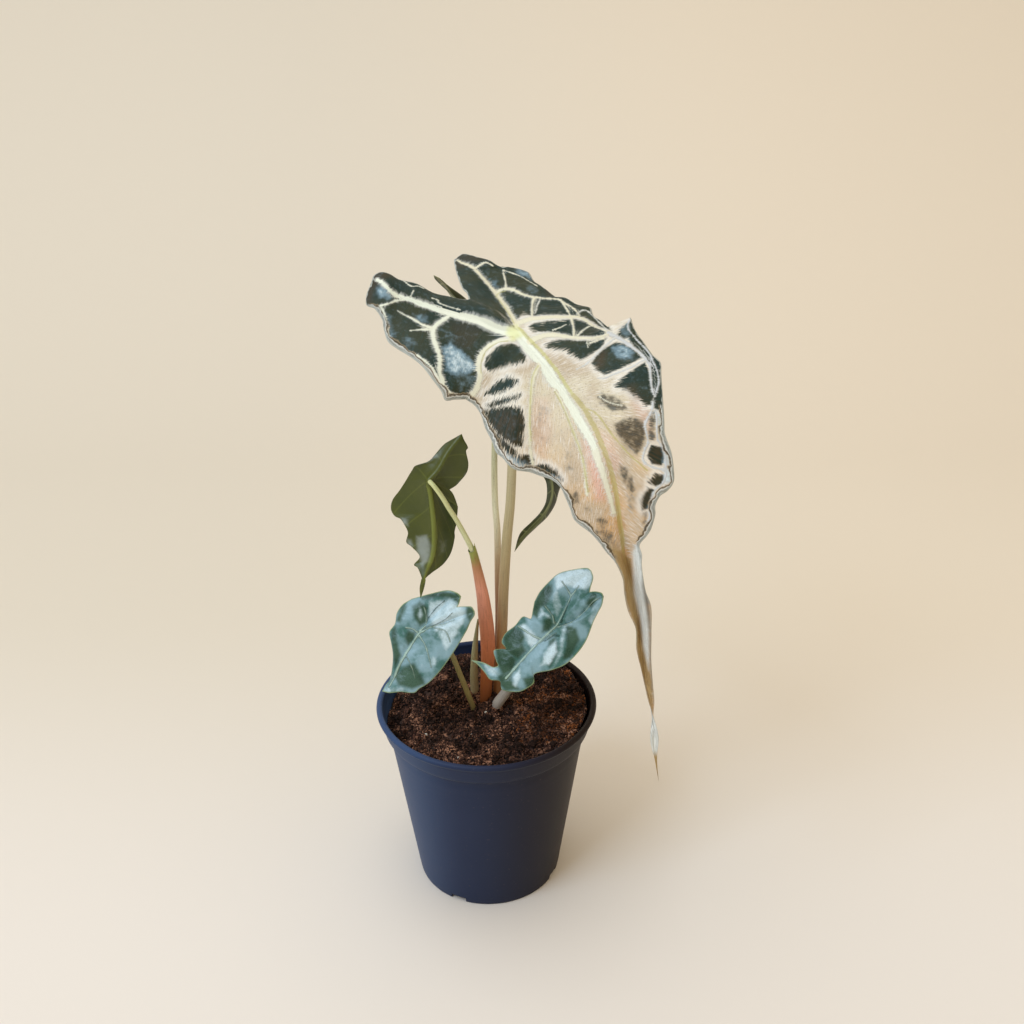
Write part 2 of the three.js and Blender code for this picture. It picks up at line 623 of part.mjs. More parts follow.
function potShell() {
  const ringWidth = 3;
  const lipHeight = 3.6;
  const outline = [
    [0, 0],
    [centrePadRadius, 0],
    [centrePadRadius, floorUnderside],
    [outside(0) - ringWidth, floorUnderside],
    [outside(0) - ringWidth, 0],
    [outside(0) - 0.8, 0],
    [outside(1), 1],
    [outside(collarFootHeight - 1.5), collarFootHeight - 1.5],
    [collarFootRadius - 0.6, collarFootHeight],
    [collarFootRadius, collarFootHeight + 0.8],
    [lipRadius - 1.6, potHeight - lipHeight],
    [lipRadius - 0.3, potHeight - 2.8],
    [lipRadius, potHeight - 1.6],
    [lipRadius - 0.5, potHeight - 0.4],
    [lipRadius - 1.5, potHeight],
    [lipRadius - 2.5, potHeight - 0.4],
    [lipRadius - 3.1, potHeight - 1.6],
    [inside(stepHead), stepHead],
    [inside(stepFoot), stepFoot],
    [inside(floorTop), floorTop],
    [0, floorTop],
  ];
  return turned(outline, potSides);
}

function turned(outline, sides) {
  const geometry = new THREE.LatheGeometry(outline.map(([r, z]) => new THREE.Vector2(r, z)), sides);
  return geometry.rotateX(Math.PI / 2);
}

function pot() {
  const notch = { width: 9, height: 3.2, depth: 12, angles: [-115, -25, 65, 155] };
  const drain = { radius: 3.5, circle: 27, count: 8, sides: 12 };
  let solid = toSolid(potShell());
  notch.angles.forEach((degrees) => {
    const cutter = new THREE.BoxGeometry(notch.depth, notch.width, notch.height * 2);
    cutter.translate(baseRadius, 0, 0).rotateZ(THREE.MathUtils.degToRad(degrees));
    solid = solid.subtract(toSolid(cutter));
  });
  for (let i = 0; i < drain.count; i += 1) {
    const cutter = new THREE.CylinderGeometry(drain.radius, drain.radius, floorTop * 4, drain.sides);
    cutter.rotateX(Math.PI / 2).translate(drain.circle, 0, 0);
    cutter.rotateZ((2 * Math.PI * (i + 0.5)) / drain.count);
    solid = solid.subtract(toSolid(cutter));
  }
  return toGeometry(solid);
}

// Rhizome: a squat corm with thick roots running down and out from it.
const rootPaths = [
  [[3, 10, 76], [14, 8, 66], [22, 6, 50], [24, 8, 34]],
  [[-3, 12, 76], [-12, 20, 64], [-16, 26, 46], [-14, 28, 28]],
  [[0, 5, 74], [4, -8, 62], [3, -18, 46], [8, -24, 30]],
  [[-4, 6, 76], [-16, -2, 66], [-24, -8, 50], [-26, -6, 36]],
  [[4, 14, 76], [12, 22, 62], [16, 28, 48], [12, 30, 30]],
  [[0, 9, 70], [-2, 6, 52], [-5, 4, 36], [-3, 2, 22]],
];

function rhizome(spare = 0) {
  const cormSides = 14;
  const corm = turned([
    [0, cormTop - 30.5 - spare],
    [5 + spare, cormTop - 28.5 - spare],
    [10 + spare, cormTop - 22],
    [cormRadius + spare, cormTop - 13],
    [cormRadius - 1 + spare, cormTop - 4],
    [cormRadius - 4 + spare, cormTop - 0.2 + spare],
    [0, cormTop + spare],
  ], cormSides);
  let solid = toSolid(corm.translate(0, 10, 0));
  rootPaths.forEach((path) => {
    const root = { path, radii: [2.6, 2, 1.3], rows: 5, sides: 5 };
    solid = solid.add(toSolid(stalk(root, spare)));
  });
  return solid;
}

// Potting mix: fills the pot to just under the lip, lower on the left, with a lumpy top.
function soilHeight(x, y) {
  const slope = 0.045 * x + 0.03 * y;
  const clods = 0.9 * Math.sin(0.36 * x + 1) * Math.cos(0.33 * y);
  const swells = 0.7 * Math.sin(0.16 * x - 0.29 * y + 2);
  const sunkenEdge = -2.5 * THREE.MathUtils.smoothstep(-x, 30, 54);
  return soilTop + slope + clods + swells + sunkenEdge;
}

function pottingMix(stems) {
  const edge = inside(stepHead) - gap;
  const topShares = [1, 0.88, 0.74, 0.6, 0.46, 0.32, 0.18];
  const outline = [
    [0, floorTop + gap],
    [inside(floorTop) - gap, floorTop + gap],
    [inside(stepFoot) - gap, stepFoot],
    ...topShares.map((share) => [edge * share, soilTop]),
    [0, soilTop],
  ];
  const body = turned(outline, soilSides);
  const at = body.attributes.position;
  for (let i = 0; i < at.count; i += 1) {
    const [x, y] = [at.getX(i), at.getY(i)];
    if (at.getZ(i) > stepHead) {
      const z = soilHeight(x, y);
      const fit = Math.min((inside(z) - gap) / Math.hypot(x, y), 1);
      at.setXYZ(i, x * fit, y * fit, z);
    }
  }
  let solid = toSolid(body).subtract(rhizome(gap));
  stems.forEach((stem) => {
    solid = solid.subtract(stem);
  });
  return toGeometry(solid);
}

// A plain hole round a stalk, open at the bottom into the hollow that holds the rhizome.
function holeFor(stem) {
  const top = stalkFoot + 1;
  const bottom = cormTop - 2;
  const bore = Math.max(...stem.radii) + gap;
  const [x, y] = stem.path[0];
  const foot = new THREE.CylinderGeometry(bore, bore, top - bottom, stalkSides);
  foot.rotateX(Math.PI / 2).translate(x, y, (top + bottom) / 2);
  return toSolid(stalk(stem, gap)).add(toSolid(foot));
}

function trimmedStalk(stem, leaf) {
  const clearance = toSolid(blade(leaf, 2 * gap));
  return toGeometry(largestPiece(toSolid(stalk(stem)).subtract(clearance)));
}

const plant = new THREE.Group();

function add(name, geometry, material) {
  const mesh = new THREE.Mesh(geometry, material);
  mesh.name = name;
  plant.add(mesh);
}

const buriedStems = [
  holeFor(mainStem),
  holeFor(rearStem),
  holeFor(leftStem).add(toSolid(sheathRod(leftStem, sheath, gap))),
  holeFor(lowLeftStem),
  holeFor(rightStem),
  holeFor(shootStem),
];

add('pot', pot(), plasticFinish);
add('potting_mix', pottingMix(buriedStems), soilFinish);
add('rhizome', toGeometry(rhizome()), rhizomeFinish);
add('main_leaf_blade', blade(mainLeaf), mainBladeFinish);
add('main_leaf_stalk', trimmedStalk(mainStem, mainLeaf), tanStalkFinish);
add('rear_leaf_blade', blade(rearLeaf), darkBladeFinish);
add('rear_leaf_stalk', trimmedStalk(rearStem, rearLeaf), tanStalkFinish);
add('left_leaf_blade', blade(leftLeaf), undersideFinish);
add('left_leaf_stalk', trimmedStalk(leftStem, leftLeaf), paleStalkFinish);
add('left_leaf_sheath', closedMesh(sheathSleeve(leftStem, sheath)), terracottaFinish);
add('low_left_leaf_blade', blade(lowLeftLeaf), silverBladeFinish);
add('low_left_leaf_stalk', trimmedStalk(lowLeftStem, lowLeftLeaf), oliveStalkFinish);
add('right_leaf_blade', blade(rightLeaf), silverBladeFinish);
add('right_leaf_stalk', trimmedStalk(rightStem, rightLeaf), greyStalkFinish);
add('young_shoot', closedMesh(stalk(shootStem)), paleStalkFinish);

export default plant;
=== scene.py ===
# Potted venom alocasia: a plant with five arrow-shaped leaves in a round plastic nursery pot.
# Sizes are in millimetres, and are turned to metres as each mesh is made. Only those of the camera,
# the lights, the shaders and the sheath's upper end are in metres.
import math

import bmesh
import bpy
import numpy as np
from mathutils import Matrix, Vector, kdtree, noise
from mathutils.bvhtree import BVHTree


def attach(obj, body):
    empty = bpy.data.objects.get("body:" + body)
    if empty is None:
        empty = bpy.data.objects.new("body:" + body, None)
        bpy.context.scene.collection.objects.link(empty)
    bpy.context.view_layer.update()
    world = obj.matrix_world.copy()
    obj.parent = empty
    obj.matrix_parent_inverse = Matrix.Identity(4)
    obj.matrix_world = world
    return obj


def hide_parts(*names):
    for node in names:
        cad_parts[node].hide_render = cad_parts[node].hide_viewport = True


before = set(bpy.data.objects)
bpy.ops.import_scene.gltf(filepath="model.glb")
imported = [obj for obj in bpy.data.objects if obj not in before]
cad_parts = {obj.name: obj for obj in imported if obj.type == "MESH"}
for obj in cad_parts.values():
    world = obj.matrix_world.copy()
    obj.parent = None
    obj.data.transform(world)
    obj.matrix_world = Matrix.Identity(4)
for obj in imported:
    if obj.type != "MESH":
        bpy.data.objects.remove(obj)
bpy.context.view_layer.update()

# Camera. The photograph looks down on the plant by 27 degrees from 0.6 m away, with a lens a
# little wider than a standard one. Its frame is square.
photo_width = 1024
focal_pixels = 1200
sensor_width = 36
camera_focus = Vector((0.0149, 0, 0.2248))
camera_distance = 0.6052
camera_pitch = math.radians(26.55)
camera_roll = math.radians(-0.53)

camera_turn = (Matrix.Rotation(math.pi / 2 - camera_pitch, 4, "X")
               @ Matrix.Rotation(camera_roll, 4, "Z"))
camera_place = camera_focus + camera_distance * (camera_turn @ Vector((0, 0, 1)))
camera_data = bpy.data.cameras.new("camera")
camera_data.sensor_width = sensor_width
camera_data.lens = sensor_width * focal_pixels / photo_width
camera = bpy.data.objects.new("camera", camera_data)
camera.matrix_world = Matrix.Translation(camera_place) @ camera_turn
scene = bpy.context.scene
scene.collection.objects.link(camera)
scene.camera = camera
scene.view_settings.view_transform = "Standard"


# Floor and backdrop. One sheet of smooth cream paper lies on the floor and sweeps up behind
# the plant in a wide curve. Its colour has painted light in it: a little yellower on the right,
# for warm light there, and whiter close by, where more light falls.
def new_material(name):
    """A material, its node tree and its shader."""
    material = bpy.data.materials.new(name)
    material.use_nodes = True
    return material, material.node_tree, material.node_tree.nodes["Principled BSDF"]


def plug(tree, socket, value):
    """Sets a socket to a value, or links it where the value is another socket."""
    if isinstance(value, bpy.types.NodeSocket):
        tree.links.new(value, socket)
    else:
        socket.default_value = value


def add_node(tree, kind, links=None, **settings):
    """A node with its settings, and with inputs either set to values or linked to sockets."""
    node = tree.nodes.new(kind)
    for name, value in settings.items():
        setattr(node, name, value)
    for name, value in (links or {}).items():
        plug(tree, node.inputs[name], value)
    return node


def place_on_piece(tree):
    """Where a point lies on its piece, in metres."""
    return add_node(tree, "ShaderNodeTexCoord").outputs["Object"]


def blended(tree, share, below, above):
    """Two colours, given or from sockets, mixed by a share."""
    return add_node(tree, "ShaderNodeMix", {"Factor": share, "A": below, "B": above},
                    data_type="RGBA").outputs["Result"]


def ranged(tree, value, low, high, first=0.0, last=1.0):
    """A value eased from first at low to last at high."""
    return add_node(tree, "ShaderNodeMapRange",
                    {"Value": value, "From Min": low, "From Max": high, "To Min": first,
                     "To Max": last}, interpolation_type="SMOOTHSTEP").outputs["Result"]


def surfaced(tree, shader, tone, roughness, shine, relief=None, strength=0.0, depth=0.0):
    """Gives a shader its colour, roughness and shine, and a fine relief so many metres deep."""
    plug(tree, shader.inputs["Base Color"], tone)
    plug(tree, shader.inputs["Roughness"], roughness)
    shader.inputs["Specular IOR Level"].default_value = shine
    if relief:
        bump = add_node(tree, "ShaderNodeBump",
                        {"Height": relief, "Strength": strength, "Distance": depth})
        tree.links.new(bump.outputs["Normal"], shader.inputs["Normal"])


def mesh_object(name, vertices, faces, material=None):
    """An object at the origin from points in millimetres."""
    mesh = bpy.data.meshes.new(name)
    mesh.from_pydata([[c / 1000 for c in v] for v in vertices], [], faces)
    mesh.validate()
    for polygon in mesh.polygons:
        polygon.use_smooth = True
    made = bpy.data.objects.new(name, mesh)
    scene.collection.objects.link(made)
    if material:
        mesh.materials.append(material)
    return made


paper_half_width = 3000
paper_front = -2500
curve_start = 560
curve_radius = 600
paper_top = 3000
curve_steps = 24
paper_left = (0.665, 0.615, 0.530, 1)
paper_painted_warm_right = (0.725, 0.652, 0.545, 1)
paper_painted_light_close_by = (0.750, 0.710, 0.665, 1)

paper_line = [(paper_front, 0)]
for step in range(curve_steps + 1):
    turn = math.pi / 2 * step / curve_steps
    paper_line.append((curve_start + curve_radius * math.sin(turn),
                       curve_radius * (1 - math.cos(turn))))
paper_line.append((curve_start + curve_radius, paper_top))
paper_points = [(x, y, z) for y, z in paper_line for x in (-paper_half_width, paper_half_width)]
paper_faces = [(2 * i, 2 * i + 1, 2 * i + 3, 2 * i + 2) for i in range(len(paper_line) - 1)]

paper_material, tree, shader = new_material("cream_paper")
parts = add_node(tree, "ShaderNodeSeparateXYZ", {"Vector": place_on_piece(tree)})
# Painted light: the paper is tinted yellower on the right and whiter close by.
tint = blended(tree, ranged(tree, parts.outputs["X"], -0.3, 0.35), paper_left, paper_painted_warm_right)
tint = blended(tree, ranged(tree, parts.outputs["Y"], 0.3, -0.1), tint, paper_painted_light_close_by)
surfaced(tree, shader, tint, 0.7, 0.2)
paper = mesh_object("paper", paper_points, paper_faces, paper_material)


# Light. A large window on the upper left gives the soft shadow on the right and some of the pale
# blue shine of the leaves, whose brightest reflections are painted into their colour; the sky adds
# to it from above, and a warm pale room fills the shadows.
def area_light(name, place, size, power, colour):
    """A square soft light at a place in metres, turned to face the plant."""
    data = bpy.data.lights.new(name, "AREA")
    data.size = size
    data.energy = power
    data.color = colour
    light = bpy.data.objects.new(name, data)
    facing = (Vector(plant_middle) - Vector(place)).to_track_quat("-Z", "Y")
    light.matrix_world = Matrix.LocRotScale(Vector(place), facing, None)
    scene.collection.objects.link(light)


plant_middle = (0.01, 0, 0.2)
area_light("window", (-2.2, -2.0, 3.4), size=1.9, power=90, colour=(0.60, 0.78, 1.0))
area_light("sky", (-0.3, 0.1, 1.9), size=1.3, power=11, colour=(0.82, 0.91, 1.0))
world = bpy.data.worlds.new("room")
world.use_nodes = True
world.node_tree.nodes["Background"].inputs["Color"].default_value = (1.0, 0.83, 0.60, 1)
world.node_tree.nodes["Background"].inputs["Strength"].default_value = 0.76
scene.world = world


# Pot. One round nursery pot moulded in dark blue-grey plastic, with a wide collar, a rounded
# lip, a foot ring with four notches and eight drain holes. It stands on the floor.
lip_radius = 60
lip_round = 1.7
pot_height = 111
base_radius = 40.2
base_round = 0.9
body_top_radius = 53.9
collar_foot_height = 98
collar_foot_radius = body_top_radius + 2.6
pot_wall = 1.6
floor_top = 7
floor_underside = 5
centre_pad_radius = 9
ring_width = 3
step_foot = collar_foot_height - 3
step_head = collar_foot_height + 1.2
pot_sides = 192
body_rows = 40
collar_rows = 6
mould_ridges = [(90.5, 0.22, 0.8), (86.5, 0.18, 0.9)]


def pot_outside(z):
    """The body's outer radius at a height."""
    return base_radius + (body_top_radius - base_radius) * z / collar_foot_height


def pot_inside(z):
    """The inner radius at a height, with the step behind the foot of the collar."""
    step = min(max((z - step_foot) / (step_head - step_foot), 0), 1)
    body = pot_outside(min(z, step_foot))
    return body + (collar_foot_radius - body) * step - pot_wall


def arc(centre, radius, first, last, count):
    """Points on an arc in the outline's plane, from one angle to another in degrees."""
    angles = [math.radians(first + (last - first) * k / count) for k in range(count + 1)]
    return [(centre[0] + radius * math.cos(a), centre[1] + radius * math.sin(a)) for a in angles]


def turned(name, outline, sides):
    """A closed body turned about the upright axis from an outline that starts and ends on it."""
    points = []
    rings = []
    for radius, z in outline:
        count = 1 if radius < 1e-6 else sides
        rings.append(range(len(points), len(points) + count))
        for k in range(count):
            angle = 2 * math.pi * k / sides
            points.append((radius * math.cos(angle), radius * math.sin(angle), z))
    faces = []
    for low, high in zip(rings, rings[1:]):
        for k in range(sides):
            corners = [low[k % len(low)], low[(k + 1) % sides % len(low)],
                       high[(k + 1) % sides % len(high)], high[k % len(high)]]
            faces.append(list(dict.fromkeys(corners)))
    return mesh_object(name, points, faces)


def cut_away(body, cutters):
    """Takes the cutters out of the body, which stays a plain mesh."""
    for cutter in cutters:
        cut = body.modifiers.new("cut", "BOOLEAN")
        cut.operation = "DIFFERENCE"
        cut.solver = "EXACT"
        cut.object = cutter
    depsgraph = bpy.context.evaluated_depsgraph_get()
    mesh = bpy.data.meshes.new_from_object(body.evaluated_get(depsgraph))
    body.modifiers.clear()
    body.data = mesh
    for cutter in cutters:
        bpy.data.objects.remove(cutter)


pot_outline = [
    (0, 0), (centre_pad_radius - 0.4, 0), (centre_pad_radius, 0.4),
    (centre_pad_radius, floor_underside),
    (base_radius - ring_width, floor_underside), (base_radius - ring_width, 0),
    *arc((pot_outside(0) - base_round, base_round), base_round, -90, -8, 4),
]
for row in range(1, body_rows + 1):
    z = 1.5 + (collar_foot_height - 4.5) * row / body_rows
    ridge = sum(rise * math.exp(-((z - at) / reach) ** 2) for at, rise, reach in mould_ridges)
    pot_outline.append((pot_outside(z) + ridge, z))
pot_outline += [
    (pot_outside(collar_foot_height - 2), collar_foot_height - 2),
    (pot_outside(collar_foot_height - 1.3) + 0.15, collar_foot_height - 1.3),
    (collar_foot_radius - 1.2, collar_foot_height - 0.5),
    (collar_foot_radius - 0.5, collar_foot_height + 0.2),
    (collar_foot_radius, collar_foot_height + 1.2),
]
for row in range(1, collar_rows + 1):
    share = row / collar_rows
    pot_outline.append((collar_foot_radius + (lip_radius - 1.5 - collar_foot_radius) * share,
                        collar_foot_height + 1.2 + (pot_height - 4.2 - collar_foot_height) * share))
pot_outline += [
    (lip_radius - 1.1, pot_height - 2.9),
    *arc((lip_radius - lip_round, pot_height - lip_round), lip_round, -30, 200, 14),
    (pot_inside(step_head), step_head), (pot_inside(step_foot), step_foot),
    (pot_inside(floor_top) - 0.1, floor_top + 1), (pot_inside(floor_top) - 1, floor_top),
    (0, floor_top),
]
pot = turned("nursery_pot", pot_outline, pot_sides)

notch_width = 9
notch_height = 3.2
notch_depth = 12
notch_angles = (-115, -25, 65, 155)
pot_cutters = []
for degrees in notch_angles:
    bpy.ops.mesh.primitive_cube_add(size=1)
    notch = bpy.context.object
    notch.scale = (notch_depth / 1000, notch_width / 1000, notch_height * 2 / 1000)
    angle = math.radians(degrees)
    notch.location = (base_radius / 1000 * math.cos(angle), base_radius / 1000 * math.sin(angle), 0)
    notch.rotation_euler = (0, 0, angle)
    pot_cutters.append(notch)
drain_radius = 3.5
drain_circle = 27
drain_count = 8
for k in range(drain_count):
    angle = 2 * math.pi * (k + 0.5) / drain_count
    bpy.ops.mesh.primitive_cylinder_add(radius=drain_radius / 1000, depth=floor_top * 4 / 1000)
    drain = bpy.context.object
    drain.location = (drain_circle / 1000 * math.cos(angle), drain_circle / 1000 * math.sin(angle), 0)
    pot_cutters.append(drain)
cut_away(pot, pot_cutters)
for polygon in pot.data.polygons:
    polygon.use_smooth = True


def grain(tree, vector, scale, detail=2.0):
    """Noise on a vector."""
    return add_node(tree, "ShaderNodeTexNoise",
                    {"Vector": vector, "Scale": scale, "Detail": detail}).outputs["Fac"]


deep_navy = (0.013, 0.023, 0.062, 1)
pale_navy = (0.019, 0.031, 0.076, 1)
# The next two colours are painted light: a bluish sheen of the window on the left side, and shade with a
# warm reflection on the right side.
painted_window_sheen = (0.033, 0.066, 0.155, 1)
painted_warm_shade = (0.010, 0.005, 0.004, 1)
pot_dust = (0.09, 0.075, 0.07, 1)
plastic, tree, shader = new_material("dark_plastic")
place = place_on_piece(tree)
tone = blended(tree, grain(tree, place, 30.0, 4.0), deep_navy, pale_navy)
across = add_node(tree, "ShaderNodeSeparateXYZ", {"Vector": place}).outputs["X"]
# Painted light: the left side is made lighter and bluer, and the right side darker and browner.
tone = blended(tree, ranged(tree, across, -0.012, -0.048), tone, painted_window_sheen)
tone = blended(tree, ranged(tree, across, -0.02, 0.05), tone, painted_warm_shade)
specks = add_node(tree, "ShaderNodeMapRange", {"Value": grain(tree, place, 620.0, 3.0),
                                               "From Min": 0.66, "From Max": 0.76, "To Max": 0.35})
tone = blended(tree, specks.outputs["Result"], tone, pot_dust)
surfaced(tree, shader, tone, 0.46, 0.15, grain(tree, place, 1500.0), 0.08, 0.0004)
pot.data.materials.clear()
pot.data.materials.append(plastic)
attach(pot, "root")
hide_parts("pot")


# Potting mix. Peat and coir fill the pot to just under the lip, lower on the left, with a
# crumbly top of clods, short fibres and a grain or two of perlite.
gap = 0.3
soil_top = 104
slope_across = 0.045
slope_back = 0.03
clod_rise = 0.9
swell_rise = 0.7
left_sink = 2.5
right_heap = 1.2
soil_rings = 140
soil_sides = 330
ring_crowding = 0.85
soil_cracks = [
    (9, -3, 3, 3.5), (13, -5, 3.5, 3.5), (20, 0, 4, 3), (-8, -13, 4, 2.5), (-2, -16, 4, 3),
    (4, -15, 4, 4), (10, -12, 3.5, 4), (-20, -6, 3, 3), (16, -22, 3, 3), (-14, -30, 3, 3),
    (-46, 10, 6, 4), (26, 8, 3, 2.5),
]


def smoothstep(value, low, high):
    """From 0 at low to 1 at high, without corners."""
    share = min(max((value - low) / (high - low), 0), 1)
    return share * share * (3 - 2 * share)


def soil_level(x, y):
    """The height of the mix before its crumbs: a slope, clods, swells, a sunken left edge and a
    heap on the right."""
    slope = slope_across * x + slope_back * y
    clods = clod_rise * math.sin(0.36 * x + 1) * math.cos(0.33 * y)
    swells = swell_rise * math.sin(0.16 * x - 0.29 * y + 2)
    sink = left_sink * smoothstep(-x, 30, 54)
    heap = right_heap * smoothstep(x, 20, 50)
    return soil_top + slope + clods + swells - sink + heap


def soil_surface(x, y):
    """The level with its broken, crumbly relief. A crack is a place, a width and a depth."""
    fine = noise.noise(Vector((x, y, 3)) / 1.7) * 0.8 + noise.noise(Vector((x, y, 9)) / 0.8) * 0.35
    lumps = noise.noise(Vector((x, y, 20)) / 6.0) * 2.0
    cracks = 0
    for crack_x, crack_y, width, depth in soil_cracks:
        away = math.hypot(x - crack_x, y - crack_y) / width
        cracks += depth * math.exp(-away * away)
    return soil_level(x, y) + fine + lumps - cracks


soil_edge = pot_inside(step_head) - gap
soil_points = []
soil_faces = []
soil_outline = [(pot_inside(floor_top) - gap, floor_top + gap), (pot_inside(step_foot) - gap, step_foot)]
for k in range(soil_sides):
    angle = 2 * math.pi * k / soil_sides
    for radius, z in soil_outline:
        soil_points.append((radius * math.cos(angle), radius * math.sin(angle), z))
    for ring in range(soil_rings):
        radius = soil_edge * (1 - ring / soil_rings) ** ring_crowding
        x, y = radius * math.cos(angle), radius * math.sin(angle)
        z = soil_surface(x, y)
        fit = min((pot_inside(z) - gap) / radius, 1)
        soil_points.append((x * fit, y * fit, z))
column = len(soil_outline) + soil_rings
middle = len(soil_points)
soil_points += [(0, 0, soil_surface(0, 0)), (0, 0, floor_top + gap)]
for k in range(soil_sides):
    here, there = k * column, (k + 1) % soil_sides * column
    for row in range(column - 1):
        soil_faces.append((here + row, there + row, there + row + 1, here + row + 1))
    soil_faces.append((here + column - 1, there + column - 1, middle))
    soil_faces.append((there, here, middle + 1))


def colour(red, green, blue):
    """A colour as it is seen, from 0 to 255, turned to the linear light of the shader."""
    parts = [value / 255 for value in (red, green, blue)]
    return (*[p / 12.92 if p <= 0.04045 else ((p + 0.055) / 1.055) ** 2.4 for p in parts], 1)


def ramped(tree, value, stops):
    """A colour that runs through stops, each a place from 0 to 1 and a colour as it is seen."""
    ramp = add_node(tree, "ShaderNodeValToRGB", {"Fac": value})
    stop_list = ramp.color_ramp.elements
    for stop, (place, shade) in zip(stop_list, (stops[0], stops[-1])):
        stop.position = place
        stop.color = colour(*shade)
    for place, shade in stops[1:-1]:
        stop_list.new(place).color = colour(*shade)
    return ramp.outputs["Color"]


soil_material, tree, shader = new_material("damp_peat")
peat = ramped(tree, grain(tree, place_on_piece(tree), 260.0, 6.0),
              [(0.35, (16, 10, 8)), (0.7, (70, 46, 36))])
surfaced(tree, shader, peat, 0.95, 0.5)
soil = mesh_object("potting_mix_body", soil_points, soil_faces, soil_material)
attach(soil, "root")
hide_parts("potting_mix")


def calc(tree, operation, a, b):
    """The result of a sum on two sockets or numbers."""
    node = add_node(tree, "ShaderNodeMath", {0: a, 1: b}, operation=operation)
    return node.outputs[0]


def plus(tree, a, b):
    """One value added to another."""
    return calc(tree, "ADD", a, b)


def less(tree, a, b):
    """A value with another taken off."""
    return calc(tree, "SUBTRACT", a, b)


def times(tree, a, b):
    """One value times another."""
    return calc(tree, "MULTIPLY", a, b)


def open_tree(name, inputs, output):
    """A node tree with named inputs, each of a kind, and one mesh output."""
    tree = bpy.data.node_groups.new(name, "GeometryNodeTree")
    for label, kind in inputs.items():
        tree.interface.new_socket(label, in_out="INPUT", socket_type="NodeSocket" + kind)
    tree.interface.new_socket(output, in_out="OUTPUT", socket_type="NodeSocketGeometry")
    return tree, tree.nodes.new("NodeGroupInput").outputs


def close_tree(tree, shape, finish, output):
    """Ends a node tree with its shape made real and given its material."""
    real = add_node(tree, "GeometryNodeRealizeInstances", {"Geometry": shape})
    finished = add_node(tree, "GeometryNodeSetMaterial",
                        {"Geometry": real.outputs["Geometry"], "Material": finish})
    out = tree.nodes.new("NodeGroupOutput")
    tree.links.new(finished.outputs["Geometry"], out.inputs[output])


def run_tree(name, base, tree, sizes):
    """The tree's result on a base mesh, as a plain object of its own. The base is used up."""
    modifier = base.modifiers.new("tree", "NODES")
    modifier.node_group = tree
    for item in tree.interface.items_tree:
        if item.in_out == "INPUT" and item.name in sizes:
            modifier[item.identifier] = sizes[item.name]
    depsgraph = bpy.context.evaluated_depsgraph_get()
    mesh = bpy.data.meshes.new_from_object(base.evaluated_get(depsgraph), depsgraph=depsgraph)
    base.modifiers.clear()
    made = bpy.data.objects.new(name, mesh)
    mesh.name = name
    scene.collection.objects.link(made)
    bpy.data.objects.remove(base)
    return made


def crumb_tree():
    """A node tree that scatters crumbs over the top of the mix, each turned and sized by chance."""
    tree, into = open_tree("crumbs_on_mix", {
        "Mix": "Geometry", "Crumbs a square metre": "Float", "Smallest": "Float",
        "Largest": "Float", "Length": "Float", "Detail": "Int", "Seed": "Int",
        "Finish": "Material"}, "Crumbs")
    spread = add_node(tree, "GeometryNodeDistributePointsOnFaces",
                      {"Mesh": into["Mix"], "Density": into["Crumbs a square metre"],
                       "Seed": into["Seed"]}, distribute_method="RANDOM")
    ball = add_node(tree, "GeometryNodeMeshIcoSphere", {"Radius": 1.0, "Subdivisions": into["Detail"]})
    place = tree.nodes.new("GeometryNodeInputPosition").outputs[0]
    shapes = tree.nodes.new("GeometryNodeGeometryToInstance")
    for number in range(3):
        shift = add_node(tree, "ShaderNodeVectorMath", {0: place, 1: (7.0 * number, 3.0, 1.0)},
                         operation="ADD")
        lumps = add_node(tree, "ShaderNodeTexNoise", {"Vector": shift.outputs["Vector"], "Scale": 1.3})
        swell = add_node(tree, "ShaderNodeVectorMath",
                         {0: place, "Scale": ranged(tree, lumps.outputs["Fac"], 0.3, 0.7, -0.45, 0.5)},
                         operation="SCALE")
        lumpy = add_node(tree, "GeometryNodeSetPosition",
                         {"Geometry": ball.outputs["Mesh"], "Offset": swell.outputs["Vector"]})
        tree.links.new(lumpy.outputs["Geometry"], shapes.inputs["Geometry"])
    turn = add_node(tree, "FunctionNodeRandomValue", {"Min": (0, 0, 0), "Max": (6.3, 6.3, 6.3)},
                    data_type="FLOAT_VECTOR")
    width = add_node(tree, "FunctionNodeRandomValue",
                     {"Min": into["Smallest"], "Max": into["Largest"]},
                     data_type="FLOAT").outputs["Value"]
    long = add_node(tree, "ShaderNodeCombineXYZ",
                    {"X": width, "Y": width, "Z": times(tree, width, into["Length"])})
    set_down = add_node(tree, "GeometryNodeInstanceOnPoints",
                        {"Points": spread.outputs["Points"], "Instance": shapes.outputs["Instances"],
                         "Pick Instance": True, "Rotation": turn.outputs[0],
                         "Scale": long.outputs["Vector"]})
    close_tree(tree, set_down.outputs["Instances"], into["Finish"], "Crumbs")
    return tree


def peat_finish(name, dark, pale, scale):
    """Earth that varies from a dark to a pale brown."""
    material, tree, shader = new_material(name)
    place = place_on_piece(tree)
    shade = blended(tree, ranged(tree, grain(tree, place, scale, 3.0), 0.4, 0.62), dark, pale)
    shade = blended(tree, ranged(tree, grain(tree, place, 60.0), 0.42, 0.6, 0.0, 0.8), shade, dark)
    surfaced(tree, shader, shade, 0.9, 0.15)
    return material


patch_pitch = 1.5
patch_reach = 38
patch_margin = 0.9


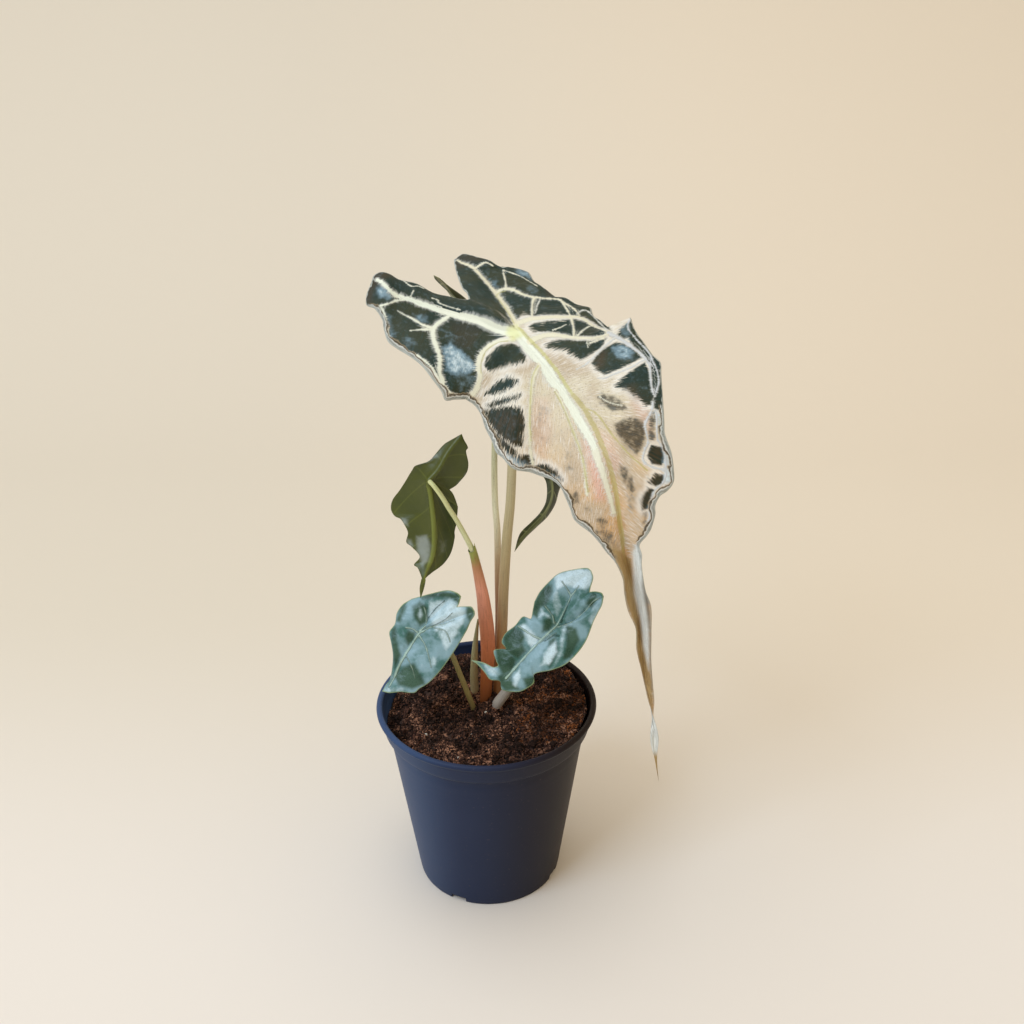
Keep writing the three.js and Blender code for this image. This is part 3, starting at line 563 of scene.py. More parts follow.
def mix_patch(keep, rise):
    """The part of the mix's top where `keep` says yes, sampled on a square grid."""
    points = []
    faces = []
    for row in range(-patch_reach, patch_reach):
        for step in range(-patch_reach, patch_reach):
            x, y = (step + 0.5) * patch_pitch, (row + 0.5) * patch_pitch
            if math.hypot(x, y) > soil_edge - patch_margin or not keep(x, y):
                continue
            start = len(points)
            for dx, dy in ((-0.5, -0.5), (0.5, -0.5), (0.5, 0.5), (-0.5, 0.5)):
                corner_x, corner_y = x + dx * patch_pitch, y + dy * patch_pitch
                points.append((corner_x, corner_y, soil_surface(corner_x, corner_y) + rise))
            faces.append((start, start + 1, start + 2, start + 3))
    return mesh_object("mix_patch", points, faces)


def clumped(x, y, seed, level):
    """Whether chance puts a clump of crumbs here."""
    return noise.noise(Vector((x, y, seed)) / 5.0) > level


def pale_place(x, y):
    """Where fibrous pale peat lies, most of all along the front."""
    return clumped(x, y, 5, -0.12 - 0.3 * smoothstep(-y, 10, 40))


def coir_side(x, y):
    """The right of the pot, where rusty coir lies on the mix."""
    return x > 16 and y > -32 and clumped(x, y, 31, -0.35)


crumb_seed = 8
crumb_scatter = crumb_tree()
dark_crumb = peat_finish("dark_crumbs", colour(17, 10, 8), colour(84, 56, 45), 900.0)
pale_crumb = peat_finish("pale_crumbs", colour(52, 32, 26), colour(168, 124, 100), 900.0)
rust_crumb = peat_finish("rust_crumbs", colour(46, 25, 14), colour(138, 82, 44), 800.0)
white_grain = peat_finish("white_grains", colour(196, 190, 180), colour(226, 222, 214), 900.0)
for name, keep, rise, density, sizes, length, detail, finish in (
    ("dark_crumbs", lambda x, y: True, 0.1, 4.6e5, (0.35, 1.05), 1.4, 1, dark_crumb),
    ("pale_crumbs", pale_place, 0.5, 6.4e5, (0.2, 0.5), 2.2, 1, pale_crumb),
    ("rust_crumbs", coir_side, 0.35, 9.0e5, (0.35, 0.8), 1.2, 1, rust_crumb),
    ("clods", lambda x, y: clumped(x, y, 17, -0.1), 0.3, 0.5e5, (1.0, 2.2), 1.1, 2, dark_crumb),
    ("pale_clods", lambda x, y: clumped(x, y, 23, 0.05), 0.3, 0.8e5, (0.6, 1.4), 1.4, 2, pale_crumb),
    ("fibres", lambda x, y: True, 0.5, 0.9e5, (0.07, 0.16), 22.0, 1, pale_crumb),
    ("perlite", lambda x, y: clumped(x, y, 44, 0.25), 0.5, 0.04e5, (0.5, 0.8), 1.0, 2, white_grain),
):
    scattered = run_tree("mix_" + name, mix_patch(keep, rise), crumb_scatter,
                         {"Crumbs a square metre": density, "Smallest": sizes[0] / 1000,
                          "Largest": sizes[1] / 1000, "Length": length, "Detail": detail,
                          "Seed": crumb_seed, "Finish": finish})
    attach(scattered, "root")
    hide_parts("potting_mix")


# Leaf blades. Each is a thin, veined sheet spanned between three ribs, the midrib and one in
# each back lobe, and the margin on either side of each. Its ribs stand out below.
def through(stations, places):
    """Points on the smooth curve through stations (place, x, y, z), at the given places."""
    at = np.array([station[0] for station in stations], float)
    points = np.array([station[1:] for station in stations], float)
    slopes = np.empty_like(points)
    slopes[1:-1] = (points[2:] - points[:-2]) / (at[2:] - at[:-2])[:, None]
    slopes[0] = (points[1] - points[0]) / (at[1] - at[0])
    slopes[-1] = (points[-1] - points[-2]) / (at[-1] - at[-2])
    before = np.clip(np.searchsorted(at, places) - 1, 0, len(at) - 2)
    span = (at[before + 1] - at[before])[:, None]
    f = (places - at[before])[:, None] / span
    p, q = points[before], points[before + 1]
    a, b = slopes[before] * span, slopes[before + 1] * span
    return p + f * (a + f * (3 * (q - p) - 2 * a - b + f * (2 * (p - q) + a + b)))


def lengths(vectors):
    """The length of each vector, as a column."""
    return np.linalg.norm(vectors, axis=1)[:, None]


def rib_stations(rib):
    """A rib's points as stations whose places are 0, 1, 2..."""
    return [(place, *point) for place, point in enumerate(rib)]


pace_steps = 6000


def even_places(curves, spacing):
    """Places along a rib, so close that no curve moves further than the spacing between two."""
    end = curves[0][-1][0]
    fine = np.linspace(0, end, pace_steps)
    pace = np.zeros(len(fine) - 1)
    for curve in curves:
        points = through(curve, fine)
        pace = np.maximum(pace, lengths(points[1:] - points[:-1])[:, 0])
    travelled = np.concatenate([[0], np.cumsum(pace)])
    count = max(int(math.ceil(travelled[-1] / spacing)), 4)
    return np.interp(np.linspace(0, travelled[-1], count + 1), travelled, fine)


full_width = 10
keel_half_width = 1.3


def square_to(rib, margin, opposite, places):
    """Square to the rib and to the line between its margins, fading out where that is long."""
    along = through(rib, places + 0.05) - through(rib, places)
    across = through(margin, places) - through(opposite, places)
    width = lengths(across)
    fade = np.clip((width - full_width / 2) / (full_width / 2), 0, 1)
    fade = 1 - fade * fade * (3 - 2 * fade)
    square = np.cross(along, across)
    return square / np.maximum(lengths(square), 1e-9) * fade


def zipped(near, far):
    """Triangles between two rows of points that have different numbers of points."""
    faces = []
    i = j = 0
    while i < len(near) - 1 or j < len(far) - 1:
        if j == len(far) - 1 or (i < len(near) - 1
                                 and (i + 1) * (len(far) - 1) <= (j + 1) * (len(near) - 1)):
            faces.append((near[i], far[j], near[i + 1]))
            i += 1
        else:
            faces.append((near[i], far[j], far[j + 1]))
            j += 1
    return faces


def blade_sheet(leaf, spacing):
    """The blade's middle surface, with each point's distance from its rib and along it."""
    points, faces, keels, leans, ribs, streaks, side_fields = [], [], [], [], [], [], []
    rise = np.array(leaf["rise"], float)
    sides = [
        (leaf["midrib"], leaf["right_margin"], leaf["left_margin"]),
        (leaf["right_lobe"], leaf["right_lobe_inside"], leaf["right_lobe_outside"]),
        (leaf["left_lobe"], leaf["left_lobe_outside"], leaf["left_lobe_inside"]),
    ]
    for rib, right, left in sides:
        rib = rib_stations(rib)
        end = rib[-1][0]
        places = even_places([rib, right, left], spacing)
        for margin, opposite, faces_up in ((right, left, True), (left, right, False)):
            inner = through(rib, places)
            outer = through(margin, places)
            middle = (inner + outer) / 2
            travelled = np.concatenate([[0], np.cumsum(lengths(middle[1:] - middle[:-1]))])
            lean = square_to(rib, margin, opposite, np.minimum(places, end - 0.1))
            rows = []
            for row, place in enumerate(places):
                width = np.linalg.norm(outer[row] - inner[row])
                count = max(int(round(width / spacing)), 1)
                shares = np.linspace(0, 1, count + 1)[:, None]
                left_over = max(1 - place / end, 0)
                bulge = math.sqrt(left_over) * min(width / full_width, 1)
                line = inner[row] * (1 - shares) + outer[row] * shares
                line = line + rise * 4 * shares * (1 - shares) * bulge
                start = len(points)
                points.extend(line)
                rows.append(range(start, start + count + 1))
                keels.extend(left_over * np.exp(-(shares[:, 0] * width / keel_half_width) ** 2))
                ribs.extend(shares[:, 0] * width)
                side_fields.extend(shares[:, 0] * width * (1 if faces_up else -1))
                streaks.extend([travelled[row]] * (count + 1))
                leans.extend([lean[row] * (1 if faces_up else -1)] * (count + 1))
            for near, far in zip(rows, rows[1:]):
                strip = zipped(near, far)
                faces.extend(strip if faces_up else [(a, c, b) for a, b, c in strip])
    points = np.array(points)
    _, first, merged = np.unique(np.round(points, 3), axis=0, return_index=True, return_inverse=True)
    merged = merged.reshape(-1)
    faces = merged[np.array(faces)]
    bare = (faces[:, 0] != faces[:, 1]) & (faces[:, 1] != faces[:, 2]) & (faces[:, 2] != faces[:, 0])
    fields = {"keel": keels, "lean": leans, "rib": ribs, "streak": streaks,
              "side": side_fields}
    return points[first], faces[bare], {k: np.array(v, float)[first] for k, v in fields.items()}


def point_normals(points, faces):
    """The smooth normal at each point."""
    corners = points[faces]
    turned_faces = np.cross(corners[:, 1] - corners[:, 0], corners[:, 2] - corners[:, 0])
    normals = np.zeros_like(points)
    for corner in range(3):
        np.add.at(normals, faces[:, corner], turned_faces)
    return normals / np.maximum(lengths(normals), 1e-12)


def open_edges(faces):
    """The edges that only one triangle has, in the order in which it runs through them."""
    edges = np.concatenate([faces[:, [0, 1]], faces[:, [1, 2]], faces[:, [2, 0]]])
    known = {(a, b) for a, b in edges.tolist()}
    return [(a, b) for a, b in edges.tolist() if (b, a) not in known]


ease_rounds = 6
ease_share = 0.6


def eased(points, faces, held):
    """The sheet with its creases evened out. The held points stay where they are."""
    edges = np.concatenate([faces[:, [0, 1]], faces[:, [1, 2]], faces[:, [2, 0]]])
    edges = np.unique(np.sort(edges, axis=1), axis=0)
    share = np.zeros(len(points))
    np.add.at(share, edges[:, 0], 1)
    np.add.at(share, edges[:, 1], 1)
    for _ in range(ease_rounds):
        sums = np.zeros_like(points)
        np.add.at(sums, edges[:, 0], points[edges[:, 1]])
        np.add.at(sums, edges[:, 1], points[edges[:, 0]])
        moved = sums / np.maximum(share, 1)[:, None]
        points = np.where(held[:, None], points, points * (1 - ease_share) + moved * ease_share)
    return points


blade_thickness = 0.6
rib_depth = 1.5
edge_thinness = 0.35


def make_blade(name, leaf, spacing, material):
    """The blade as a closed mesh, upper points first, then as many lower ones."""
    points, faces, fields = blade_sheet(leaf, spacing)
    edges = open_edges(faces)
    held = np.zeros(len(points), bool)
    held[np.array(edges).reshape(-1)] = True
    points = eased(points, faces, held)
    normals = point_normals(points, faces)
    lean = fields["lean"]
    slim = lengths(lean)
    ups = normals * (1 - slim) + lean
    ups /= np.maximum(lengths(ups), 1e-9)
    half = np.where(held, edge_thinness, 1.0)[:, None] * blade_thickness / 2
    upper = points + ups * half
    lower = points - ups * (half + rib_depth * fields["keel"][:, None])
    count = len(points)
    all_faces = faces.tolist() + (faces[:, ::-1] + count).tolist()
    for a, b in edges:
        all_faces.append((b, a, a + count, b + count))
    blade = mesh_object(name, np.concatenate([upper, lower]).tolist(), all_faces, material)
    return blade, upper, fields, faces


def seen_at(points):
    """Where the camera sees points, in pixels of the photograph."""
    local = (np.asarray(points, float) / 1000 - np.array(camera_place)) @ np.array(camera_turn.to_3x3())
    half = photo_width / 2
    return np.stack([half - focal_pixels * local[:, 0] / local[:, 2],
                     half + focal_pixels * local[:, 1] / local[:, 2]], axis=1)


def on_blade(pixels, points, tree):
    """The points of the blade, in millimetres, that the camera sees at the given pixels."""
    start = camera_place * 1000
    seen = seen_at(points)
    found = []
    for x, y in pixels:
        aim = camera_turn.to_3x3() @ Vector(((x - photo_width / 2) / focal_pixels,
                                             (photo_width / 2 - y) / focal_pixels, -1))
        hit = tree.ray_cast(start, aim)[0]
        if hit is None:
            hit = points[np.argmin(((seen - (x, y)) ** 2).sum(axis=1))]
        found.append(Vector(hit))
    return found


def set_field(blade, name, values, lower_values=None):
    """Keeps a number, or a vector, at each point of the blade, upper points first."""
    values = np.asarray(values, np.float32)
    both = np.concatenate([values, values if lower_values is None else lower_values])
    kind = "FLOAT" if both.ndim == 1 else "FLOAT_VECTOR"
    field = blade.data.attributes.new(name, kind, "POINT")
    field.data.foreach_set("value" if both.ndim == 1 else "vector", both.astype(np.float32).ravel())


pixel_size = 0.46
vein_steps = 16


def draw_veins(blade, name, points, tree, veins):
    """Keeps at each point the way to the nearest vein, its half width and its tint. Each vein
    is a width at its start and at its end in pixels, a tint, and the pixels that it passes."""
    near = kdtree.KDTree(sum(len(vein[3]) for vein in veins) * vein_steps)
    sizes, tints = [], []
    for first_width, last_width, tint, path in veins:
        stations = [(place, x, y, 0) for place, (x, y) in enumerate(path)]
        fine = np.linspace(0, len(path) - 1, (len(path) - 1) * vein_steps + 1)
        drawn = through(stations, fine)[:, :2]
        for share, place in zip(fine / fine[-1], on_blade(drawn, points, tree)):
            near.insert(place, len(sizes))
            sizes.append((first_width + (last_width - first_width) * share) / 2 * pixel_size)
            tints.append(tint)
    near.balance()
    offsets, widths, shades = [], [], []
    for point in points:
        best = min(near.find_n(point, 3), key=lambda found: found[2] - sizes[found[1]])
        offsets.append(Vector(point) - best[0])
        widths.append(sizes[best[1]])
        shades.append(tints[best[1]])
    offsets = np.array(offsets)
    gap_to_vein = lengths(offsets)[:, 0] - np.array(widths)
    set_field(blade, name + " offset", offsets)
    set_field(blade, name + " width", widths)
    set_field(blade, name + " tint", shades)
    set_field(blade, name + " gap", gap_to_vein)
    return gap_to_vein


def depth_inside(seen, outline):
    """How deep each seen point lies inside an outline, in pixels; outside it is negative."""
    a = np.array(outline, float)
    b = np.roll(a, -1, axis=0)
    side = b - a
    way = seen[:, None, :] - a[None]
    share = np.clip((way * side).sum(axis=2) / (side ** 2).sum(axis=1), 0, 1)
    distance = np.sqrt(((way - share[..., None] * side) ** 2).sum(axis=2)).min(axis=1)
    above_a = a[:, 1][None] > seen[:, 1][:, None]
    above_b = b[:, 1][None] > seen[:, 1][:, None]
    rise = np.where(side[:, 1] == 0, 1e-9, side[:, 1])
    crossing = a[:, 0] + (seen[:, 1][:, None] - a[:, 1]) * side[:, 0] / rise
    inside = ((above_a != above_b) & (seen[:, 0][:, None] < crossing)).sum(axis=1) % 2 == 1
    return np.where(inside, distance, -distance)


def patches(seen, outlines, softness):
    """From 0 to 1, how far inside the nearest of several soft patches each point is. Each patch
    is a strength and an outline in pixels."""
    most = np.zeros(len(seen))
    for strength, outline in outlines:
        depth = np.clip(depth_inside(seen, outline) / softness / 2 + 0.5, 0, 1)
        most = np.maximum(most, depth * depth * (3 - 2 * depth) * strength)
    return most


def rim_distance(points, faces):
    """Each point's distance from the blade's edge."""
    edge_points = sorted({corner for edge in open_edges(faces) for corner in edge})
    near = kdtree.KDTree(len(edge_points))
    for index in edge_points:
        near.insert(points[index], index)
    near.balance()
    return np.array([near.find(point)[2] for point in points])


def feathered(vein_gap, least, more):
    """How ragged the dark cells' edges are: least beside a vein, and more away from it."""
    return least + np.clip((vein_gap - 0.8) / 3, 0, 1) * more


def keep_ways(blade, points, faces, fields):
    """Keeps the way to the edge, along and across the blade, and which face is the upper one."""
    set_field(blade, "rim", rim_distance(points, faces))
    for name in ("streak", "rib", "side"):
        set_field(blade, name, fields[name])
    top = np.ones(len(points))
    set_field(blade, "upper", top, top * 0)


# Main leaf. The big blade hangs from its stalk like a shield and narrows to a long golden tip. It
# is a firm, waxy leaf with dark green cells between broad milky veins. Pale blue reflections are
# painted in where it shines, and a silver sheen is painted on one side of its tip.
# A vein's tint runs from milky green, 0, through straw, 0.5, to silver, 1.
main_leaf = {
    "rise": (-0.7, -2.2, 1.7),
    "midrib": [
        (18, 0, 319), (29, -12, 309), (38, -21, 300), (46, -31, 291), (53, -40, 284),
        (57, -47, 276), (61, -52, 265), (63, -56, 255), (65, -59, 243), (68, -61, 228),
        (72, -62, 210), (75, -61, 187), (79, -59, 163), (83, -56, 142), (86, -54, 120),
        (89, -52, 95),
    ],
    "left_margin": [
        (0, -6, -24, 295), (0.1, -2, -24, 292), (0.2, 1, -26, 288), (0.32, 3, -32, 284),
        (0.45, 6, -38, 280), (0.55, 8, -42, 276), (0.63, 11, -44, 274), (0.72, 14, -46, 271),
        (0.82, 17, -46, 269), (1.02, 23, -44, 267), (1.3, 28, -44, 265), (1.7, 33, -46, 264),
        (2.15, 37, -50, 262), (2.6, 39, -54, 259), (3.1, 41, -57, 255), (3.7, 43, -59, 250),
        (4.9, 50, -62, 245), (6.1, 54, -64, 241), (6.8, 57, -65, 237), (7.6, 59, -66, 235),
        (8.5, 62, -67, 231), (9.1, 65, -68, 224), (9.6, 66, -68, 216), (10.1, 68, -68, 207),
        (10.5, 72, -67, 197), (11.1, 73, -65, 184), (11.7, 76, -63, 171), (12.2, 78.6, -59.7, 159),
        (12.6, 80.4, -58.8, 151), (13, 82.8, -58.2, 143), (13.8, 87, -56, 127),
        (14.4, 87.2, -53.9, 111), (15, 89, -52, 95),
    ],
    "right_margin": [
        (0, 63, 8, 317), (0.5, 67, 6, 318), (0.9, 70, 8, 321), (1.15, 72, 8, 323),
        (1.3, 73, 4, 320), (1.45, 75, 0, 317), (1.6, 77, -3, 315), (1.75, 79, -8, 313),
        (1.9, 81, -12, 311), (2.1, 84, -16, 309), (2.35, 84, -21, 305), (2.6, 84, -27, 300),
        (2.75, 84, -33, 295), (2.85, 84, -37, 292), (2.95, 84, -40, 288), (3.05, 84, -43, 285),
        (3.25, 87, -46, 277), (3.4, 88, -48, 271), (3.6, 88, -52, 266), (4, 85, -56, 263),
        (4.5, 81, -60, 262), (5, 79, -61, 258), (5.7, 79, -62, 254), (6.8, 77, -65, 248),
        (7.4, 75, -66, 245), (8.1, 72, -67, 241), (8.6, 73, -69, 237), (9, 73, -70, 232),
        (9.6, 75, -71, 220), (10.1, 78, -71, 211), (10.8, 79, -69, 196), (11.4, 80, -66, 179),
        (12.1, 82, -62, 162), (12.6, 83.5, -58.5, 151), (13, 84, -54.2, 141), (13.8, 83, -56, 125),
        (14.4, 86.2, -53.8, 110), (15, 89, -52, 95),
    ],
    "left_lobe": [
        (18, 0, 319), (10, 3, 319), (1, 7, 322), (-9, 10, 324), (-18, 12, 326), (-28, 13, 329),
        (-37, 14, 332), (-43, 15, 337), (-51, 17, 338),
    ],
    "left_lobe_outside": [
        (0, -6, -24, 295), (1, -11, -27, 296), (2, -15, -30, 297), (2.8, -17, -28, 301),
        (3.4, -21, -26, 306), (4, -25, -22, 310), (4.6, -30, -18, 313), (5.3, -38, -12, 316),
        (5.9, -42, -8, 318), (6.4, -44, -3, 322), (6.9, -45, 2, 325), (7.4, -49, 7, 329),
        (7.75, -53, 10, 330), (7.9, -53, 14, 334), (8, -51, 17, 338),
    ],
    "left_lobe_inside": [
        (0, -5, 21, 329), (1, -6, 20, 329), (2, -9, 21, 329), (3, -14, 22, 330), (4, -22, 22, 332),
        (5, -30, 24, 336), (6, -38, 24, 338), (7, -43, 24, 341), (7.6, -47, 23, 342),
        (7.85, -50, 20, 341), (8, -51, 17, 338),
    ],
    "right_lobe": [
        (18, 0, 319), (16, 12, 322), (13, 22, 324), (7, 36, 329), (-1, 48, 335), (-8, 54, 337),
        (-12, 58, 339),
    ],
    "right_lobe_outside": [
        (0, 63, 8, 317), (0.5, 61, 11, 318), (0.9, 58, 14, 320), (1.25, 55, 18, 321),
        (1.5, 54, 24, 323), (1.75, 51, 27, 323), (2.05, 47, 28, 324), (2.35, 42, 32, 326),
        (2.6, 38, 32, 326), (2.85, 34, 36, 328), (3.05, 30, 40, 330), (3.25, 27, 44, 331),
        (3.5, 24, 50, 334), (3.9, 15, 52, 336), (4.15, 10, 50, 337), (4.4, 5, 54, 339),
        (4.8, 0, 56, 340), (5.4, -8, 60, 341), (5.8, -11, 59, 340), (6, -12, 58, 339),
    ],
    "right_lobe_inside": [
        (0, -5, 21, 329), (1, -6, 27, 330), (2, -8, 31, 331), (3, -10, 38, 333), (4, -12, 47, 336),
        (5, -13, 54, 338), (5.6, -13, 57, 339), (6, -12, 58, 339),
    ],
}
main_veins = [
    (11, 8, 0.1, [(514, 333), (500, 330), (490, 326), (480, 321.5), (470, 318.5), (460, 316.5),
        (450, 313.5), (440, 310.5)]),
    (7, 4, 0.0, [(440, 310.5), (430, 307), (420, 303.5), (410, 299.5), (400, 297), (393, 293), (387, 287.5),
        (382, 282.5), (378, 280)]),
    (2.5, 1.5, 0.1, [(405, 299.5), (397, 300.5), (390, 303), (380, 306), (374, 307)]),
    (2, 2.5, 0.1, [(378.5, 307), (382.5, 310), (385, 316), (386.5, 322), (387.5, 328), (388, 334),
        (391, 340), (396, 345.5), (401, 348.5), (410, 352.5), (418, 356), (423, 359.5), (428, 363.5),
        (433, 369), (440, 380), (447, 389), (452, 394), (460, 396.5), (465, 398), (470, 401.5),
        (473, 404.5)]),
    (5, 5, 0.1, [(449, 316), (440, 322), (434, 328), (433, 335), (435, 343), (438, 351), (440, 359),
        (439.5, 367), (440, 374), (443, 382)]),
    (4, 1, 0.15, [(433, 328), (423, 325), (414, 319.5), (405, 315), (398, 311)]),
    (4, 0.8, 0.15, [(432, 329.5), (423, 329.5), (410, 330.5)]),
    (4.5, 6, 0.3, [(513, 339), (500, 340.5), (492, 344), (486, 348.5), (481, 354.5), (479, 361),
        (478.5, 368), (480, 376), (477, 388), (472, 395), (466, 399)]),
    (1.2, 0.8, 0.2, [(411, 296), (413.5, 290.5)]),
    (1.5, 1, 0.1, [(403, 280), (411, 286), (418, 286), (424, 288.5)]),
    (0.8, 1.2, 0.2, [(432, 298), (438, 300), (439, 303), (450, 307), (460, 310)]),
    (7, 3, 0.45, [(517, 326), (512.5, 318), (506.5, 308), (500, 299), (493, 290), (485, 280.5),
        (477, 271.5), (470, 266), (463, 263.5), (458, 260.5)]),
    (3, 1, 0.4, [(476, 268), (480, 265), (485, 262.5), (490, 264), (493, 266)]),
    (5, 2, 0.4, [(497, 294), (499, 291), (504, 289), (510, 289), (516, 291), (522, 294), (530, 296.5),
        (538, 297.5), (546, 298.5), (553, 298.8), (559, 299.5), (563, 302), (568, 305), (573, 308),
        (577, 312), (579, 315)]),
    (1.8, 1.2, 0.4, [(506, 288), (505.5, 281), (504, 275), (503, 270.5)]),
    (1.2, 0.8, 0.3, [(503, 270), (512, 273), (520, 276), (527, 280), (533, 283.5), (537, 286)]),
    (3, 1.5, 0.45, [(535, 297), (533, 301), (532, 308), (532, 316)]),
    (1.3, 1, 0.7, [(540, 300), (537, 306), (535.5, 313)]),
    (2, 2, 0.4, [(561, 300), (564, 305), (568, 311), (571, 318), (573, 325), (574, 332), (573.5, 336)]),
    (8, 2, 0.45, [(521, 322), (530, 319), (540, 318), (550, 317), (560, 317), (570, 317), (576, 316.5),
        (580, 317.5), (585, 320), (590, 324), (596, 327), (601, 329), (606, 331)]),
    (1.5, 1.5, 0.8, [(577, 314), (581, 311), (585, 310), (589, 312), (594, 317), (600, 323), (607, 330)]),
    (7, 2, 0.42, [(527, 343), (535, 339), (545, 335.5), (555, 335), (565, 336.5), (575, 337.5), (585, 338),
        (592, 338), (598, 337), (604, 335.5), (608, 334)]),
    (1.5, 1, 0.3, [(553, 330), (560, 327.5), (566, 324.5)]),
    (2, 1.2, 0.3, [(577, 336), (582, 331), (588, 327), (592, 325.5)]),
    (1.5, 1, 0.3, [(589, 338), (587, 342), (588, 347)]),
    (1.5, 2, 0.3, [(590, 343), (597, 340.5), (604, 338)]),
    (2.5, 1, 0.85, [(617, 336), (610, 342), (604, 347), (598, 353), (592, 359), (585, 365), (577, 369)]),
    (2.2, 1, 0.9, [(645, 360), (640, 362), (634, 366), (627, 369), (620, 372), (612, 375), (605, 378),
        (597, 378)]),
    (4.5, 3, 0.95, [(608, 333), (617, 337), (625, 342), (632, 347), (640, 353), (646, 359)]),
    (2.2, 2, 0.95, [(646, 359), (650, 366), (650.5, 375), (651.5, 385), (653, 392), (655, 396)]),
    (2.2, 2, 0.95, [(653, 403), (652, 410), (648, 418), (645, 425), (647, 435), (648, 443), (645, 450),
        (643, 458), (646, 464), (656, 468), (665, 470)]),
    (1.6, 1.4, 1.0, [(656, 393), (657.5, 388), (659, 382), (658, 375), (656, 368), (653, 362), (650, 354),
        (645, 348), (638, 341), (633, 335), (629, 330), (628, 324), (630, 320)]),
    (1.5, 1.5, 1.0, [(656, 411), (657, 420), (657, 430), (658, 440), (664, 450), (666, 462), (666, 475),
        (662, 484), (655, 490), (652, 498), (650, 508), (649, 520), (644, 530)]),
    (1.2, 0.8, 0.5, [(600, 397), (606, 401), (612, 403.5), (622, 405.5)]),
]
midrib_veins = [
    (11, 11, 0.0, [(518, 334), (524, 341), (530, 350), (540, 361), (547, 370), (553, 380), (560, 390)]),
    (11, 7, 0.05, [(560, 390), (566, 400), (573, 410), (579, 420), (585, 430), (591, 440), (595, 450)]),
    (8, 4, 0.25, [(595, 450), (598, 460), (602, 470), (605, 480), (608, 490), (611, 500), (614, 512)]),
    (5, 3, 0.35, [(540, 364), (536, 371), (533, 380), (531.5, 390), (531, 400), (529.5, 410), (529.5, 430),
        (530.5, 450), (533, 464)]),
    (3, 2.5, 0.35, [(555, 390), (560, 399), (566, 412), (572, 428), (578, 444), (582, 458), (585, 470),
        (586, 485), (587, 495)]),
]
sap_lines = [
    (4, 3.5, 0.2, [(519, 328), (522, 331), (527, 337), (535, 345), (542, 352), (550, 362), (558, 372),
        (566, 385), (573, 395)]),
    (5, 6, 0.7, [(573, 395), (579, 402), (585, 410), (590, 419), (596, 430), (600, 440), (604, 450),
        (608, 460), (611, 470), (613.5, 480), (615.5, 490), (617, 500), (618, 510), (619, 520),
        (620.5, 530), (622, 540), (623, 550), (625, 562)]),
    (2, 1.5, 0.3, [(514, 323), (509, 314), (502, 304), (496, 296)]),
    (1.4, 1.4, 0.3, [(496, 296), (499, 293), (505, 291)]),
    (1.6, 1.2, 0.4, [(508, 341), (500, 342), (492, 346), (486, 351), (483, 358), (481, 365), (481, 373)]),
    (1.5, 1.5, 0.3, [(538, 366), (534, 373), (531.5, 383), (530.5, 400), (530, 420), (531, 440)]),
    (1.6, 2, 0.6, [(555, 392), (560, 401), (566, 414), (573, 432), (579, 447), (583, 460), (586, 478),
        (588, 492)]),
    (2, 2, 0.6, [(584, 408), (594, 412), (602, 420), (610, 432), (620, 444), (630, 455), (640, 464),
        (647, 470)]),
]
main_dark_cells = [
    [(616, 335), (623, 327), (629, 321), (632, 319), (634, 325), (640, 337), (648, 347), (642, 346),
        (631, 338), (622, 339)],
    [(355, 310), (362, 270), (380, 262), (400, 270), (430, 283), (460, 292), (500, 309), (513, 327),
        (508, 336), (497, 339), (484, 349), (478, 362), (478, 376), (474, 389), (464, 397), (450, 392),
        (440, 380), (432, 369), (420, 361), (405, 352), (388, 338), (384, 325), (378, 308)],
    [(486, 358), (492, 350), (500, 345), (512, 343), (520, 346), (526, 355), (526, 361), (514, 364),
        (500, 368), (490, 371), (484, 366)],
    [(466, 300), (450, 275), (450, 255), (480, 248), (503, 262), (530, 266), (545, 283), (562, 295),
        (592, 305), (604, 320), (612, 331), (600, 327), (585, 318), (570, 315), (545, 315), (533, 316),
        (524, 314), (516, 320), (514, 328), (505, 318)],
    [(529, 328), (534, 323), (545, 321), (560, 320), (573, 319), (585, 321), (600, 329), (608, 333),
        (600, 336), (585, 337), (570, 336), (558, 333), (545, 332), (533, 332)],
    [(545, 346), (552, 341), (562, 339), (575, 340), (590, 341), (607, 338), (603, 345), (597, 351),
        (588, 356), (580, 360), (574, 356), (565, 350), (552, 349)],
    [(591, 363), (598, 353), (606, 347), (616, 342), (626, 344), (636, 351), (643, 357), (632, 363),
        (620, 369), (604, 375), (596, 369)],
    [(615, 387), (621, 378), (632, 370), (645, 362), (649, 370), (652, 385), (654, 395), (652, 405),
        (646, 406), (636, 396), (626, 389)],
    [(626, 330), (630, 322), (640, 332), (654, 346), (664, 362), (668, 385), (668, 412), (662, 412),
        (654, 408), (652, 400), (655, 396), (653, 390), (651, 380), (650, 368), (646, 359), (637, 349),
        (630, 343)],
    [(651, 445), (662, 447), (665, 458), (662, 466), (652, 464), (647, 456)],
    [(655, 473), (664, 475), (664, 483), (656, 487), (649, 482)],
    [(644, 493), (650, 488), (655, 490), (650, 500), (648, 509), (643, 510), (641, 503)],
    [(484, 394), (492, 386), (500, 380), (510, 377), (518, 380), (514, 386), (505, 391), (494, 395)],
    [(486, 405), (496, 400), (510, 397), (521, 394), (516, 400), (504, 404), (492, 409)],
    [(482, 411), (495, 407), (510, 406), (521, 408), (525, 420), (524, 435), (523, 446), (514, 446),
        (503, 440), (494, 431), (487, 421)],
    [(484, 417), (490, 424), (499, 435), (510, 444), (517, 452), (514, 460), (503, 450), (490, 436)],
    [(514, 461), (519, 455), (530, 454), (535, 460), (532, 466), (522, 466)],
    [(534, 466), (540, 464), (549, 466), (557, 472), (562, 481), (550, 476), (540, 472)],
]
